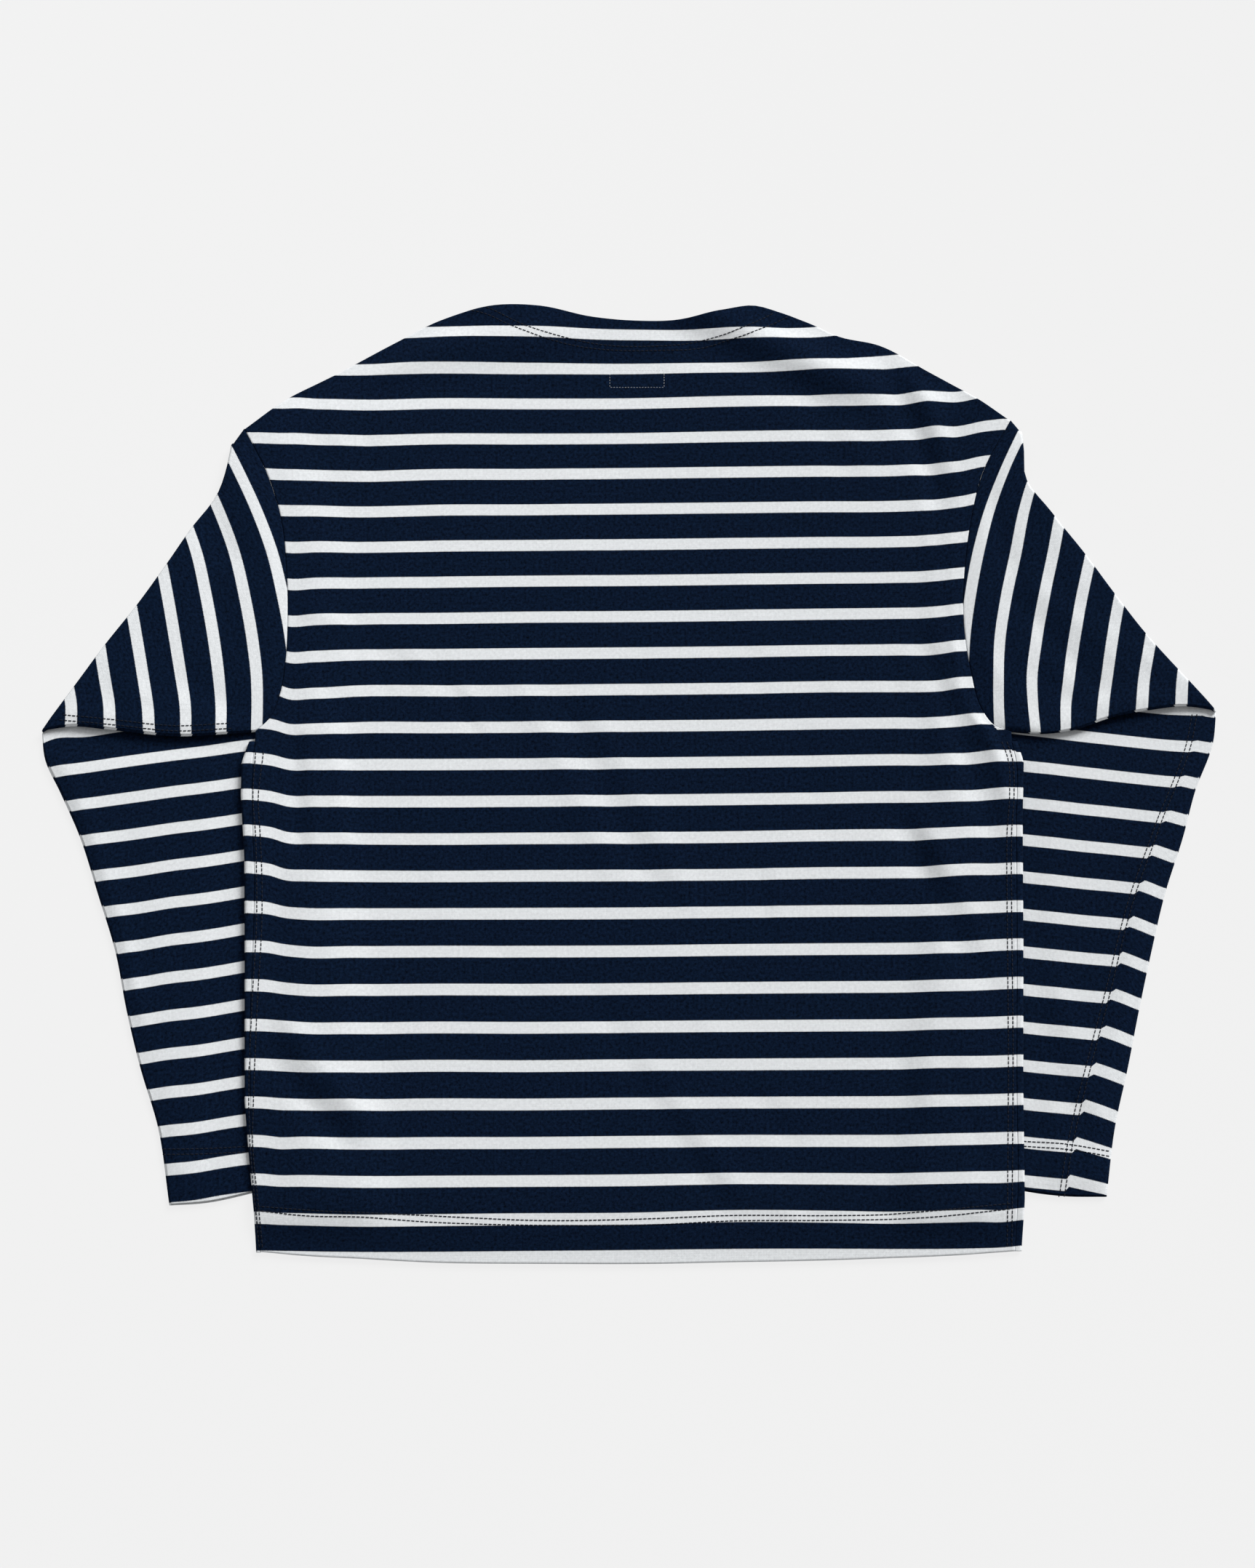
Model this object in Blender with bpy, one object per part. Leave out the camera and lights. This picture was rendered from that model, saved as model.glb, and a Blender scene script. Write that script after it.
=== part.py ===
"""A boatneck sweatshirt lying flat on a table with its back upwards.

Metres, +Z up. X runs across the chest, Y runs from the hem to the neck, and the
table is Z = 0. The front panel rests on the table and wraps round both side folds
to the seams with the back panel, which lies on it. Each sleeve is one flattened
tube with open ends, folded under along a slanted line from the shoulder tip to
the elbow, so that its forearm lies on the table and raises what is above it.

All tables are in millimetres: across is measured from the centre line, and up
from the lowest point of the hem.
"""

import math
from collections import namedtuple

import bmesh
import bpy
import numpy as np

MM = 0.001

# Driving sizes
CLOTH = 1.5
AIR = 0.4
SEAM_SPACE = 0.3
LENGTH = 762.0
OFF_CENTRE = 1.4
NECK_HALF_WIDTH = 145.0
NECK_DROP = 5.0
CUFF_STEP = 4.0

# Heights that follow from the layers lying on each other
STACK = 2 * CLOTH + AIR
LIFT = STACK + AIR
BACK_OVER_FRONT = CLOTH + AIR
TUBE_HALF = STACK / 2
FOLD_RADIUS = LIFT / 2
SIDE_RADIUS = BACK_OVER_FRONT / 2

# How finely the panels and sleeves are divided
COLUMNS = 30
SIDE_ROWS = 17
ARMHOLE_ROWS = 11
UPPER_ARM_STEPS = 5
FOREARM_STEPS = 11
SIDE_FOLD_ANGLES = (0, 45, 90, 135, 180)
ELBOW_FOLD_ANGLES = (60, 30, 0, -30, -60)

Mark = namedtuple("Mark", "across up")

# Shoulder tip to shoulder tip, over both shoulders and the neck edge
TOP_EDGE = [
    Mark(-303, 654),
    Mark(-267, 682),
    Mark(-228, 704),
    Mark(-184, 729),
    Mark(-148, 748),
    Mark(-106, 761),
    Mark(-70, 761),
    Mark(-30, 750),
    Mark(10, 746),
    Mark(50, 751),
    Mark(90, 760),
    Mark(130, 753),
    Mark(168, 734),
    Mark(200, 728),
    Mark(238, 706),
    Mark(270, 686),
    Mark(303, 661),
]

HEM_EDGE = [
    Mark(-275, 9),
    Mark(-230, 4),
    Mark(-150, 2),
    Mark(-60, 1),
    Mark(40, 0),
    Mark(120, 1),
    Mark(206, 4),
    Mark(290, 10),
]

# Hem corner to underarm, along the stitched side seams on the back
SEAM_LEFT = [
    Mark(-275, 9),
    Mark(-283, 92),
    Mark(-286, 160),
    Mark(-286, 298),
    Mark(-289, 350),
    Mark(-289, 387),
    Mark(-288, 400),
]
SEAM_RIGHT = [
    Mark(290, 10),
    Mark(293, 60),
    Mark(294, 130),
    Mark(297, 242),
    Mark(299, 340),
    Mark(300, 384),
    Mark(297, 400),
]

# Hem corner to underarm, along the outer edges of the side folds
SIDE_FOLD_LEFT = [
    Mark(-278, 9),
    Mark(-280, 38),
    Mark(-286, 92),
    Mark(-289, 122),
    Mark(-292, 242),
    Mark(-294, 310),
    Mark(-298, 358),
    Mark(-298, 384),
    Mark(-292, 402),
]
SIDE_FOLD_RIGHT = [
    Mark(295, 10),
    Mark(298, 48),
    Mark(299, 130),
    Mark(302, 242),
    Mark(304, 340),
    Mark(306, 384),
    Mark(301, 402),
]

# Underarm to shoulder tip
ARMHOLE_LEFT = [
    Mark(-288, 408),
    Mark(-277, 419),
    Mark(-270, 437),
    Mark(-266, 465),
    Mark(-265, 500),
    Mark(-267, 540),
    Mark(-271, 575),
    Mark(-284, 617),
    Mark(-303, 654),
]
ARMHOLE_RIGHT = [
    Mark(297, 408),
    Mark(284, 413),
    Mark(275, 425),
    Mark(267, 455),
    Mark(262, 500),
    Mark(264, 540),
    Mark(269, 575),
    Mark(280, 618),
    Mark(303, 661),
]

# Edges of the sleeves: where they fold under, the underarm seam of the upper arm,
# both edges of the forearm and the cuff. Every line starts nearest the shoulder
# tip or the body, and the cuff runs from its hidden inner corner outwards
SLEEVE_FOLD = {
    "left": [
        Mark(-313, 642),
        Mark(-316, 622),
        Mark(-322, 602),
        Mark(-340, 576),
        Mark(-361, 543),
        Mark(-383, 510),
        Mark(-406, 479),
        Mark(-430, 444),
        Mark(-454, 409),
    ],
    "right": [
        Mark(312, 652),
        Mark(313, 633),
        Mark(313, 617),
        Mark(334, 584),
        Mark(358, 552),
        Mark(380, 520),
        Mark(403, 488),
        Mark(428, 458),
        Mark(457, 425),
    ],
}
UNDERARM_SEAM = {
    "left": [
        Mark(-288, 408),
        Mark(-310, 406),
        Mark(-348, 404),
        Mark(-399, 409),
        Mark(-431, 412),
        Mark(-454, 409),
    ],
    "right": [
        Mark(297, 408),
        Mark(318, 406),
        Mark(345, 409),
        Mark(375, 419),
        Mark(405, 425),
        Mark(435, 428),
        Mark(457, 425),
    ],
}
FOREARM_OUTER = {
    "left": [
        Mark(-454, 409),
        Mark(-451, 388),
        Mark(-438, 361),
        Mark(-422, 327),
        Mark(-406, 281),
        Mark(-391, 236),
        Mark(-381, 191),
        Mark(-369, 147),
        Mark(-356, 103),
        Mark(-348, 44),
    ],
    "right": [
        Mark(457, 425),
        Mark(454, 402),
        Mark(438, 361),
        Mark(428, 327),
        Mark(412, 281),
        Mark(400, 236),
        Mark(389, 191),
        Mark(379, 147),
        Mark(368, 103),
        Mark(360, 48),
    ],
}
FOREARM_INNER = {
    "left": [Mark(-313, 642), Mark(-280, 420), Mark(-248, 240), Mark(-222, 71)],
    "right": [Mark(312, 652), Mark(286, 420), Mark(259, 240), Mark(238, 73)],
}
CUFF_EDGE = {
    "left": [Mark(-222, 71), Mark(-283, 53), Mark(-316, 46), Mark(-348, 44)],
    "right": [Mark(238, 73), Mark(297, 55), Mark(328, 50), Mark(360, 48)],
}

# How far from the centre line the body lies fully on the forearms, by height
Support = namedtuple("Support", "up left right")
SUPPORT = [
    Support(45, 206, 222),
    Support(240, 232, 243),
    Support(400, 254, 254),
    Support(440, 250, 250),
    Support(560, 252, 252),
    Support(655, 286, 286),
]
SLOPE_LEFT = 42.0
SLOPE_RIGHT = 30.0
CUFF_CLEAR = 46.0
CUFF_SLOPE = 34.0

# Loose air under the back panel, and its largest folds: a ridge has a positive
# height and a trough a negative one
LOFT = 1.6
LOFT_EDGE = 45.0
Fold = namedtuple("Fold", "across up to_across to_up half_width height")
FOLDS = [
    Fold(60, 742, 170, 715, 16, 3.2),
    Fold(20, 726, 170, 688, 15, -1.4),
    Fold(-140, 738, -40, 748, 14, 2.2),
    Fold(212, 690, 262, 560, 13, -1.4),
    Fold(245, 700, 285, 600, 12, 1.6),
    Fold(-80, 420, -10, 250, 17, 1.7),
    Fold(-105, 400, -60, 300, 16, -1.4),
    Fold(-62, 290, 70, 70, 18, 1.8),
    Fold(-95, 250, 15, 90, 17, -1.4),
    Fold(-236, 440, -216, 300, 11, -1.5),
    Fold(-258, 390, -246, 300, 12, 1.6),
    Fold(-258, 240, -215, 120, 15, 1.8),
    Fold(-280, 190, -232, 100, 13, -1.5),
    Fold(215, 350, 262, 190, 15, 1.7),
    Fold(240, 350, 284, 210, 12, -1.5),
    Fold(262, 400, 292, 310, 12, -1.5),
    Fold(-255, 470, -180, 400, 15, -1.4),
    Fold(40, 470, 100, 390, 18, 1.2),
]

NAVY = (0.0040, 0.0090, 0.0230, 1.0)
KNIT_ROUGHNESS = 0.9


def smooth_line(marks, shares):
    """Points at these shares of the length of a smooth line through the marks."""
    marks = np.array(marks, float)
    steps = np.linalg.norm(np.diff(marks, axis=0), axis=1)
    run = np.concatenate([[0.0], np.cumsum(steps)])
    slopes = np.gradient(marks, run, axis=0)
    where = np.asarray(shares, float) * run[-1]
    i = np.clip(np.searchsorted(run, where, side="right") - 1, 0, len(steps) - 1)
    t = ((where - run[i]) / steps[i])[:, None]
    reach = steps[i][:, None]
    start = (1 + 2 * t) * (1 - t) ** 2 * marks[i] + t * (1 - t) ** 2 * reach * slopes[i]
    end = t**2 * (3 - 2 * t) * marks[i + 1] - t**2 * (1 - t) * reach * slopes[i + 1]
    return start + end


def spanned(low, high, first, last, shares):
    """A grid of points between four edges: low and high run across at these shares,
    first and last run from low to high. Rows are straight up to the underarm and
    take the curve of the high edge only above it."""
    u = np.asarray(shares)[None, :, None]
    rise = (first[:, 1] - first[0, 1]) / (first[-1, 1] - first[0, 1])
    underarm = rise[SIDE_ROWS]
    to_low = ((1 - rise) ** 2)[:, None, None]
    to_high = soft_step((rise - underarm) / (1 - underarm))[:, None, None]
    across = (1 - u) * first[:, None] + u * last[:, None]
    low_curve = low[None] - ((1 - u) * low[0] + u * low[-1])
    high_curve = high[None] - ((1 - u) * high[0] + u * high[-1])
    return across + to_low * low_curve + to_high * high_curve


def soft_step(value):
    value = np.clip(value, 0.0, 1.0)
    return value * value * (3 - 2 * value)


def raised(across, up):
    """How far the forearms lift the body at each point."""
    table = np.array(SUPPORT, float)
    left = np.interp(up, table[:, 0], table[:, 1])
    right = np.interp(up, table[:, 0], table[:, 2])
    on_left = soft_step(1 + (-across - left) / SLOPE_LEFT)
    on_right = soft_step(1 + (across - right) / SLOPE_RIGHT)
    above_cuff = soft_step(1 + (up - CUFF_CLEAR) / CUFF_SLOPE)
    return LIFT * np.maximum(on_left, on_right) * above_cuff


def folds_at(across, up):
    """Sum of the soft ridges and troughs at each point."""
    total = np.zeros_like(across)
    for fold in FOLDS:
        run = math.hypot(fold.to_across - fold.across, fold.to_up - fold.up)
        along_x = (fold.to_across - fold.across) / run
        along_y = (fold.to_up - fold.up) / run
        dx = across - fold.across
        dy = up - fold.up
        share = (dx * along_x + dy * along_y) / run
        off = (dx * along_y - dy * along_x) / fold.half_width
        fade = soft_step(share / 0.3 + 0.5) * soft_step((1 - share) / 0.3 + 0.5)
        total += fold.height * fade * np.exp(-off * off)
    return total


def inset(line, distance, towards):
    """The line moved sideways by a distance, to the side that towards is on."""
    direction = np.gradient(line, axis=0)
    direction /= np.linalg.norm(direction, axis=1)[:, None]
    side = np.stack([-direction[:, 1], direction[:, 0]], axis=1)
    facing = np.sign((side * (np.asarray(towards) - line)).sum(axis=1))
    return line + side * facing[:, None] * distance


def armhole_shares():
    return np.linspace(0.0, 1.0, ARMHOLE_ROWS + 1) ** 1.35


def body_edge(seam, armhole, distance):
    """One side of the back panel from hem to shoulder tip, clear of its neighbours."""
    side = smooth_line(seam, np.linspace(0.0, 1.0, SIDE_ROWS + 1))
    arm = smooth_line(armhole, armhole_shares())
    line = np.concatenate([side, arm])
    return inset(line, distance, (0.0, 380.0))


def body_points():
    """Where the back panel's rows and columns cross, seen from above."""
    even = np.linspace(0.0, 1.0, COLUMNS + 1)
    shares = even - 0.07 * np.sin(2 * math.pi * even)
    left = body_edge(SEAM_LEFT, ARMHOLE_LEFT, SEAM_SPACE)
    right = body_edge(SEAM_RIGHT, ARMHOLE_RIGHT, SEAM_SPACE)
    hem = smooth_line(HEM_EDGE, shares)
    top = smooth_line(TOP_EDGE, shares)
    hem[0], hem[-1] = left[0], right[0]
    top[0], top[-1] = left[-1], right[-1]
    return spanned(hem, top, left, right, shares)


def grid_with_height(points, height):
    return np.concatenate([points, height[..., None]], axis=2)


def front_height(points):
    return CLOTH / 2 + raised(points[..., 0], points[..., 1])


def looseness(points):
    """Zero where the back panel is sewn or turned at its rim, and one inside. The
    neck edge is free, so it stays loose there."""
    across = points[..., 0]
    up = points[..., 1]
    gaps = [across - across[:, :1], across[:, -1:] - across, up - up[:1]]
    at_rim = soft_step(np.minimum.reduce(gaps) / LOFT_EDGE)
    at_shoulder = soft_step((up[-1:] - up) / LOFT_EDGE)
    at_neck = soft_step((NECK_HALF_WIDTH - np.abs(across)) / 40)
    return at_rim * np.maximum(at_shoulder, at_neck)


def back_height(points):
    loft = LOFT + folds_at(points[..., 0], points[..., 1])
    loft = np.maximum(loft, 0.0) * looseness(points)
    return front_height(points) + BACK_OVER_FRONT + loft


def side_wrap(points, height, edge_column, fold_marks, sign):
    """Columns that carry the front panel round a side fold and on to the seam."""
    fold_table = np.array(fold_marks, float)
    seam = points[: SIDE_ROWS + 1, edge_column]
    low = height[: SIDE_ROWS + 1, edge_column]
    fold = np.interp(seam[:, 1], fold_table[:, 1], fold_table[:, 0])
    centre = fold - sign * (SIDE_RADIUS + CLOTH / 2)
    places = []
    facings = []
    for angle in SIDE_FOLD_ANGLES:
        turn = math.radians(angle)
        x = centre + sign * SIDE_RADIUS * math.sin(turn)
        z = low + SIDE_RADIUS * (1 - math.cos(turn))
        places.append(np.stack([x, seam[:, 1], z], axis=1))
        facings.append((sign * math.sin(turn), 0.0, -math.cos(turn)))
    end = seam[:, 0] + sign * SEAM_SPACE
    places.append(np.stack([end, seam[:, 1], low + BACK_OVER_FRONT], axis=1))
    facings.append((0.0, 0.0, 1.0))
    return places, facings


def new_solid(name, bm):
    """A named, closed, smooth-shaded object with its own material."""
    bmesh.ops.recalc_face_normals(bm, faces=bm.faces)
    mesh = bpy.data.meshes.new(name)
    bm.to_mesh(mesh)
    bm.free()
    mesh.shade_smooth()
    mesh.set_sharp_from_angle(angle=math.radians(40))
    material = bpy.data.materials.new(name + "_knit")
    material.use_nodes = True
    shader = material.node_tree.nodes["Principled BSDF"]
    shader.inputs["Base Color"].default_value = NAVY
    shader.inputs["Roughness"].default_value = KNIT_ROUGHNESS
    shader.inputs["Metallic"].default_value = 0.0
    material.diffuse_color = NAVY
    mesh.materials.append(material)
    solid = bpy.data.objects.new(name, mesh)
    bpy.context.scene.collection.objects.link(solid)
    solid.parent = bpy.data.objects["sweatshirt"]
    return solid


def placed(point):
    """Table millimetres to metres about the centre of the whole garment, whose two
    sleeves do not reach equally far."""
    return ((point[0] - OFF_CENTRE) * MM, (point[1] - LENGTH / 2) * MM, point[2] * MM)


def panel_solid(name, outer, inner, cloth_cells):
    """A closed wall between two grids of points. A cell with no cloth is left out
    and its border is closed by the wall's edge."""
    rows, columns = cloth_cells.shape
    bm = bmesh.new()
    corners = np.zeros((rows + 1, columns + 1), bool)
    for r, c in zip(*np.nonzero(cloth_cells)):
        corners[r : r + 2, c : c + 2] = True
    skins = []
    for grid in (outer, inner):
        skin = {}
        for r, c in zip(*np.nonzero(corners)):
            skin[r, c] = bm.verts.new(placed(grid[r, c]))
        skins.append(skin)
    outside, inside = skins
    edges = {}
    for r, c in zip(*np.nonzero(cloth_cells)):
        loop = [(r, c), (r, c + 1), (r + 1, c + 1), (r + 1, c)]
        bm.faces.new([outside[key] for key in loop])
        bm.faces.new([inside[key] for key in reversed(loop)])
        for a, b in zip(loop, loop[1:] + loop[:1]):
            key = tuple(sorted([a, b]))
            edges[key] = edges.get(key, 0) + 1
    for (a, b), uses in edges.items():
        if uses == 1:
            bm.faces.new([outside[a], outside[b], inside[b], inside[a]])
    return new_solid(name, bm)


def make_back():
    points = body_points()
    height = back_height(points)
    outer = grid_with_height(points, height + CLOTH / 2)
    inner = grid_with_height(points, height - CLOTH / 2)
    cells = np.ones((len(points) - 1, COLUMNS), bool)
    return panel_solid("back", outer, inner, cells)


def make_front():
    points = body_points()
    neck = soft_step((NECK_HALF_WIDTH - np.abs(points[-1, :, 0])) / 40)
    points[-1, :, 1] -= NECK_DROP * neck
    height = front_height(points)
    main = grid_with_height(points, height)
    down = np.array([0.0, 0.0, -1.0])
    left, left_facing = side_wrap(points, height, 0, SIDE_FOLD_LEFT, -1)
    right, right_facing = side_wrap(points, height, -1, SIDE_FOLD_RIGHT, 1)
    rows = len(points)
    extra = len(left)
    width = COLUMNS + 1 + 2 * extra
    middle = np.zeros((rows, width, 3))
    facing = np.zeros((rows, width, 3))
    middle[:, extra : extra + COLUMNS + 1] = main
    facing[:, extra : extra + COLUMNS + 1] = down
    below = SIDE_ROWS + 1
    for k in range(extra):
        middle[:below, extra - 1 - k] = left[k]
        facing[:below, extra - 1 - k] = left_facing[k]
        middle[:below, extra + COLUMNS + 1 + k] = right[k]
        facing[:below, extra + COLUMNS + 1 + k] = right_facing[k]
    cells = np.zeros((rows - 1, width - 1), bool)
    cells[:, extra : extra + COLUMNS] = True
    cells[:SIDE_ROWS] = True
    outer = middle + facing * CLOTH / 2
    inner = middle - facing * CLOTH / 2
    return panel_solid("front", outer, inner, cells)


def unit(vectors):
    return vectors / np.linalg.norm(vectors, axis=-1)[..., None]


def flat_direction(line):
    """Direction along a line seen from above, at each of its points."""
    direction = unit(np.gradient(line, axis=0))
    return np.concatenate([direction, np.zeros((len(line), 1))], axis=1)


def sleeve_lines(side):
    """The sleeve's middle surface as lines from the shoulder or top edge to the
    underarm seam, one for each step from armhole to cuff, and which way is out."""
    shares = armhole_shares()
    armhole = smooth_line(ARMHOLE_LEFT if side == "left" else ARMHOLE_RIGHT, shares)[::-1]
    across_shares = 1 - shares[::-1]
    fold = smooth_line(SLEEVE_FOLD[side], across_shares)
    sign = -1 if side == "left" else 1
    fold_in = inset(fold, FOLD_RADIUS + TUBE_HALF, (sign * 250.0, 350.0))
    outwards = unit(fold - fold_in)
    cuff = smooth_line(CUFF_EDGE[side], across_shares)
    lines = []
    upper = np.linspace(0.0, 1.0, UPPER_ARM_STEPS + 1)
    seam = smooth_line(UNDERARM_SEAM[side], upper)
    seam[-1] = fold_in[-1]
    tip = np.linspace(armhole[0], fold_in[0], UPPER_ARM_STEPS + 1)
    arm = lattice(armhole, fold_in, tip, seam, across_shares, upper)
    for line in arm:
        lines.append((line, LIFT + TUBE_HALF, (0.0, 0.0, 1.0)))
    for angle in ELBOW_FOLD_ANGLES:
        turn = math.radians(angle)
        line = fold_in + outwards * FOLD_RADIUS * math.cos(turn)
        height = FOLD_RADIUS + TUBE_HALF + FOLD_RADIUS * math.sin(turn)
        lines.append((line, height, (math.cos(turn), math.sin(turn))))
    lower = np.linspace(0.0, 1.0, FOREARM_STEPS + 1) ** 1.25
    outer = smooth_line(FOREARM_OUTER[side], lower)
    outer[0] = fold_in[-1]
    inner = smooth_line(FOREARM_INNER[side], lower)
    inner[0] = fold_in[0]
    forearm = lattice(fold_in, cuff, inner, outer, across_shares, lower)
    for line in forearm:
        lines.append((line, TUBE_HALF, (0.0, 0.0, -1.0)))
    return lines, outwards


def lattice(start, end, first, last, across_shares, steps):
    """Lines across a sheet between a start line and an end line, whose ends follow
    the first and last edge."""
    u = across_shares[None, :, None]
    v = steps[:, None, None]
    along = (1 - v) * start[None] + v * end[None]
    sides = (1 - u) * first[:, None] + u * last[:, None]
    corners = (1 - v) * ((1 - u) * start[0] + u * start[-1])
    corners = corners + v * ((1 - u) * end[0] + u * end[-1])
    return along + sides - corners


def tube_ring(line, height, facing, outwards, half, upper_set_back):
    """One closed ring round the flattened tube, half thick on each side of its
    middle surface and rounded at its two edges. The layer on top may be set back."""
    middle = np.concatenate([line, np.full((len(line), 1), height)], axis=1)
    if len(facing) == 2:
        flat = np.concatenate([outwards, np.zeros((len(line), 1))], axis=1)
        out = flat * facing[0] + np.array([0.0, 0.0, facing[1]])
    else:
        out = np.tile(np.array(facing), (len(line), 1))
    sideways = flat_direction(line)
    first = middle[0] + sideways[0] * TUBE_HALF
    last = middle[-1] - sideways[-1] * TUBE_HALF
    middle[0] = first
    middle[-1] = last
    near = middle + out * half
    far = middle - out * half + upper_set_back
    start_edge = first - sideways[0] * half
    end_edge = last + sideways[-1] * half
    return np.concatenate([near, end_edge[None], far[::-1], start_edge[None]])


def make_sleeve(side):
    """A flattened tube, open at the armhole and the cuff."""
    lines, outwards = sleeve_lines(side)
    skins = []
    bm = bmesh.new()
    none = np.zeros(3)
    set_back = np.append(unit(lines[-2][0][-1] - lines[-1][0][-1]) * CUFF_STEP, 0.0)
    for half in (TUBE_HALF, TUBE_HALF - CLOTH):
        rings = []
        for step, (line, height, facing) in enumerate(lines):
            back = set_back if step == len(lines) - 1 else none
            ring = tube_ring(line, height, facing, outwards, half, back)
            rings.append([bm.verts.new(placed(point)) for point in ring])
        for ring, following in zip(rings, rings[1:]):
            close_between(bm, ring, following)
        skins.append(rings)
    outside, inside = skins
    close_between(bm, outside[0], inside[0])
    close_between(bm, outside[-1], inside[-1])
    return new_solid("sleeve_" + side, bm)


def close_between(bm, ring, following):
    """Faces that join two rings of the same number of points."""
    for k in range(len(ring)):
        m = (k + 1) % len(ring)
        bm.faces.new([ring[k], ring[m], following[m], following[k]])


def main():
    for old in list(bpy.data.objects):
        bpy.data.objects.remove(old)
    garment = bpy.data.objects.new("sweatshirt", None)
    bpy.context.scene.collection.objects.link(garment)
    make_front()
    make_back()
    make_sleeve("left")
    make_sleeve("right")


main()
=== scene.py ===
"""A striped boatneck sweatshirt lying flat on a pale table with its back upwards.

All tables are in millimetres: across is measured from the centre line of the
garment, and up from the lowest point of the hem.
"""

import math
from collections import namedtuple

import bmesh
import bpy
import numpy as np
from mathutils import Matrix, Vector
from mathutils.bvhtree import BVHTree


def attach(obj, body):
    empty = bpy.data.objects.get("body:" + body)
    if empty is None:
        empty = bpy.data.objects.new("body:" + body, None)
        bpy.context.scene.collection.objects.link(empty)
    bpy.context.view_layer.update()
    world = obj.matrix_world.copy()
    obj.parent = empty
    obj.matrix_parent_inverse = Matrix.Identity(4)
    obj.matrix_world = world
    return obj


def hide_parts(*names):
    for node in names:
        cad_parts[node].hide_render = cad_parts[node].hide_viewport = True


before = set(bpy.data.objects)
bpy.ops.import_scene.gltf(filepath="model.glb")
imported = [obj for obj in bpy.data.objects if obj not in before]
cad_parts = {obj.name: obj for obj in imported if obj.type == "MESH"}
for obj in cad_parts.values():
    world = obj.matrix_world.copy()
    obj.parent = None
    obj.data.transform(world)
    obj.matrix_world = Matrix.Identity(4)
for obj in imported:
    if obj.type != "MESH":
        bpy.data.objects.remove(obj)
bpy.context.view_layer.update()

MM = 0.001

# Cloth and layers, as in the solid garment
CLOTH = 1.5
AIR = 0.4
SEAM_SPACE = 0.05
LENGTH = 762.0
OFF_CENTRE = 1.4
NECK_HALF_WIDTH = 145.0
NECK_DROP = 5.0
CUFF_STEP = 4.0
STACK = 2 * CLOTH + AIR
LIFT = STACK + AIR
BACK_OVER_FRONT = CLOTH + AIR
TUBE_HALF = STACK / 2
FOLD_RADIUS = LIFT / 2
SIDE_RADIUS = BACK_OVER_FRONT / 2
BACK_RIM = 0.9
SLEEVE_RIM = 1.2

# Lengths of the edges that the rows and columns are spread along
SIDE_LENGTH = 392.0
ARMHOLE_LENGTH = 252.0
HEM_LENGTH = 560.0
UPPER_ARM_LENGTH = 170.0
FOREARM_LENGTH = 380.0

# How finely the cloth is divided, with extra rows and columns beside each rim so
# that the rim can be rounded
COLUMNS = 150
SIDE_ROWS = 90
ARMHOLE_ROWS = 60
UPPER_ARM_STEPS = 34
FOREARM_STEPS = 66
SLEEVE_SHARES = 44
BY_THE_RIM = (0.6, 1.5, 3.0)
SIDE_FOLD_ANGLES = (0, 20, 45, 70, 90, 110, 135, 160, 180)
ELBOW_FOLD_ANGLES = (75, 60, 45, 30, 15, 0, -15, -30, -45, -60, -75)
RIM_ANGLES = (60, 30, 0, -30, -60)

Mark = namedtuple("Mark", "across up")

# Shoulder tip to shoulder tip, over both shoulders and the neck edge
TOP_EDGE = [
    Mark(-303, 653),
    Mark(-267, 680.5),
    Mark(-228, 702),
    Mark(-184, 727),
    Mark(-148, 746),
    Mark(-106, 757.5),
    Mark(-70, 757),
    Mark(-30, 748),
    Mark(10, 744.3),
    Mark(50, 746.3),
    Mark(75, 752.3),
    Mark(100, 757),
    Mark(120, 752),
    Mark(145, 743),
    Mark(168, 732),
    Mark(200, 724.5),
    Mark(238, 703),
    Mark(270, 684),
    Mark(303, 660),
]

HEM_EDGE = [
    Mark(-275, 9.5),
    Mark(-240, 6.4),
    Mark(-204, 4.6),
    Mark(-150, 1.7),
    Mark(-60, 0.6),
    Mark(20, 0.6),
    Mark(77, 1.8),
    Mark(134, 2.8),
    Mark(190, 4.6),
    Mark(246, 6.9),
    Mark(290, 10),
]

# Hem corner to underarm, along the stitched side seams on the back
SEAM_LEFT = [
    Mark(-275, 9),
    Mark(-283, 92),
    Mark(-286, 160),
    Mark(-286, 298),
    Mark(-289, 350),
    Mark(-289, 387),
    Mark(-288, 400),
]
SEAM_RIGHT = [
    Mark(290, 10),
    Mark(293, 60),
    Mark(294, 130),
    Mark(297, 242),
    Mark(299, 340),
    Mark(300, 384),
    Mark(297, 400),
]

# Hem corner to underarm, along the outer edges of the side folds
SIDE_FOLD_LEFT = [
    Mark(-278, 9),
    Mark(-280, 38),
    Mark(-286, 92),
    Mark(-289, 122),
    Mark(-292, 242),
    Mark(-294, 310),
    Mark(-298, 358),
    Mark(-298, 384),
    Mark(-292, 402),
]
SIDE_FOLD_RIGHT = [
    Mark(295, 10),
    Mark(298, 48),
    Mark(299, 130),
    Mark(302, 242),
    Mark(304, 340),
    Mark(306, 384),
    Mark(301, 402),
]

# Underarm to shoulder tip
ARMHOLE_LEFT = [
    Mark(-288, 408),
    Mark(-277, 419),
    Mark(-270, 437),
    Mark(-266, 465),
    Mark(-265, 500),
    Mark(-267, 540),
    Mark(-271, 575),
    Mark(-284, 617),
    Mark(-303, 654),
]
ARMHOLE_RIGHT = [
    Mark(297, 408),
    Mark(284, 413),
    Mark(275, 425),
    Mark(267, 455),
    Mark(262, 500),
    Mark(264, 540),
    Mark(269, 575),
    Mark(280, 618),
    Mark(303, 661),
]

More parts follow.
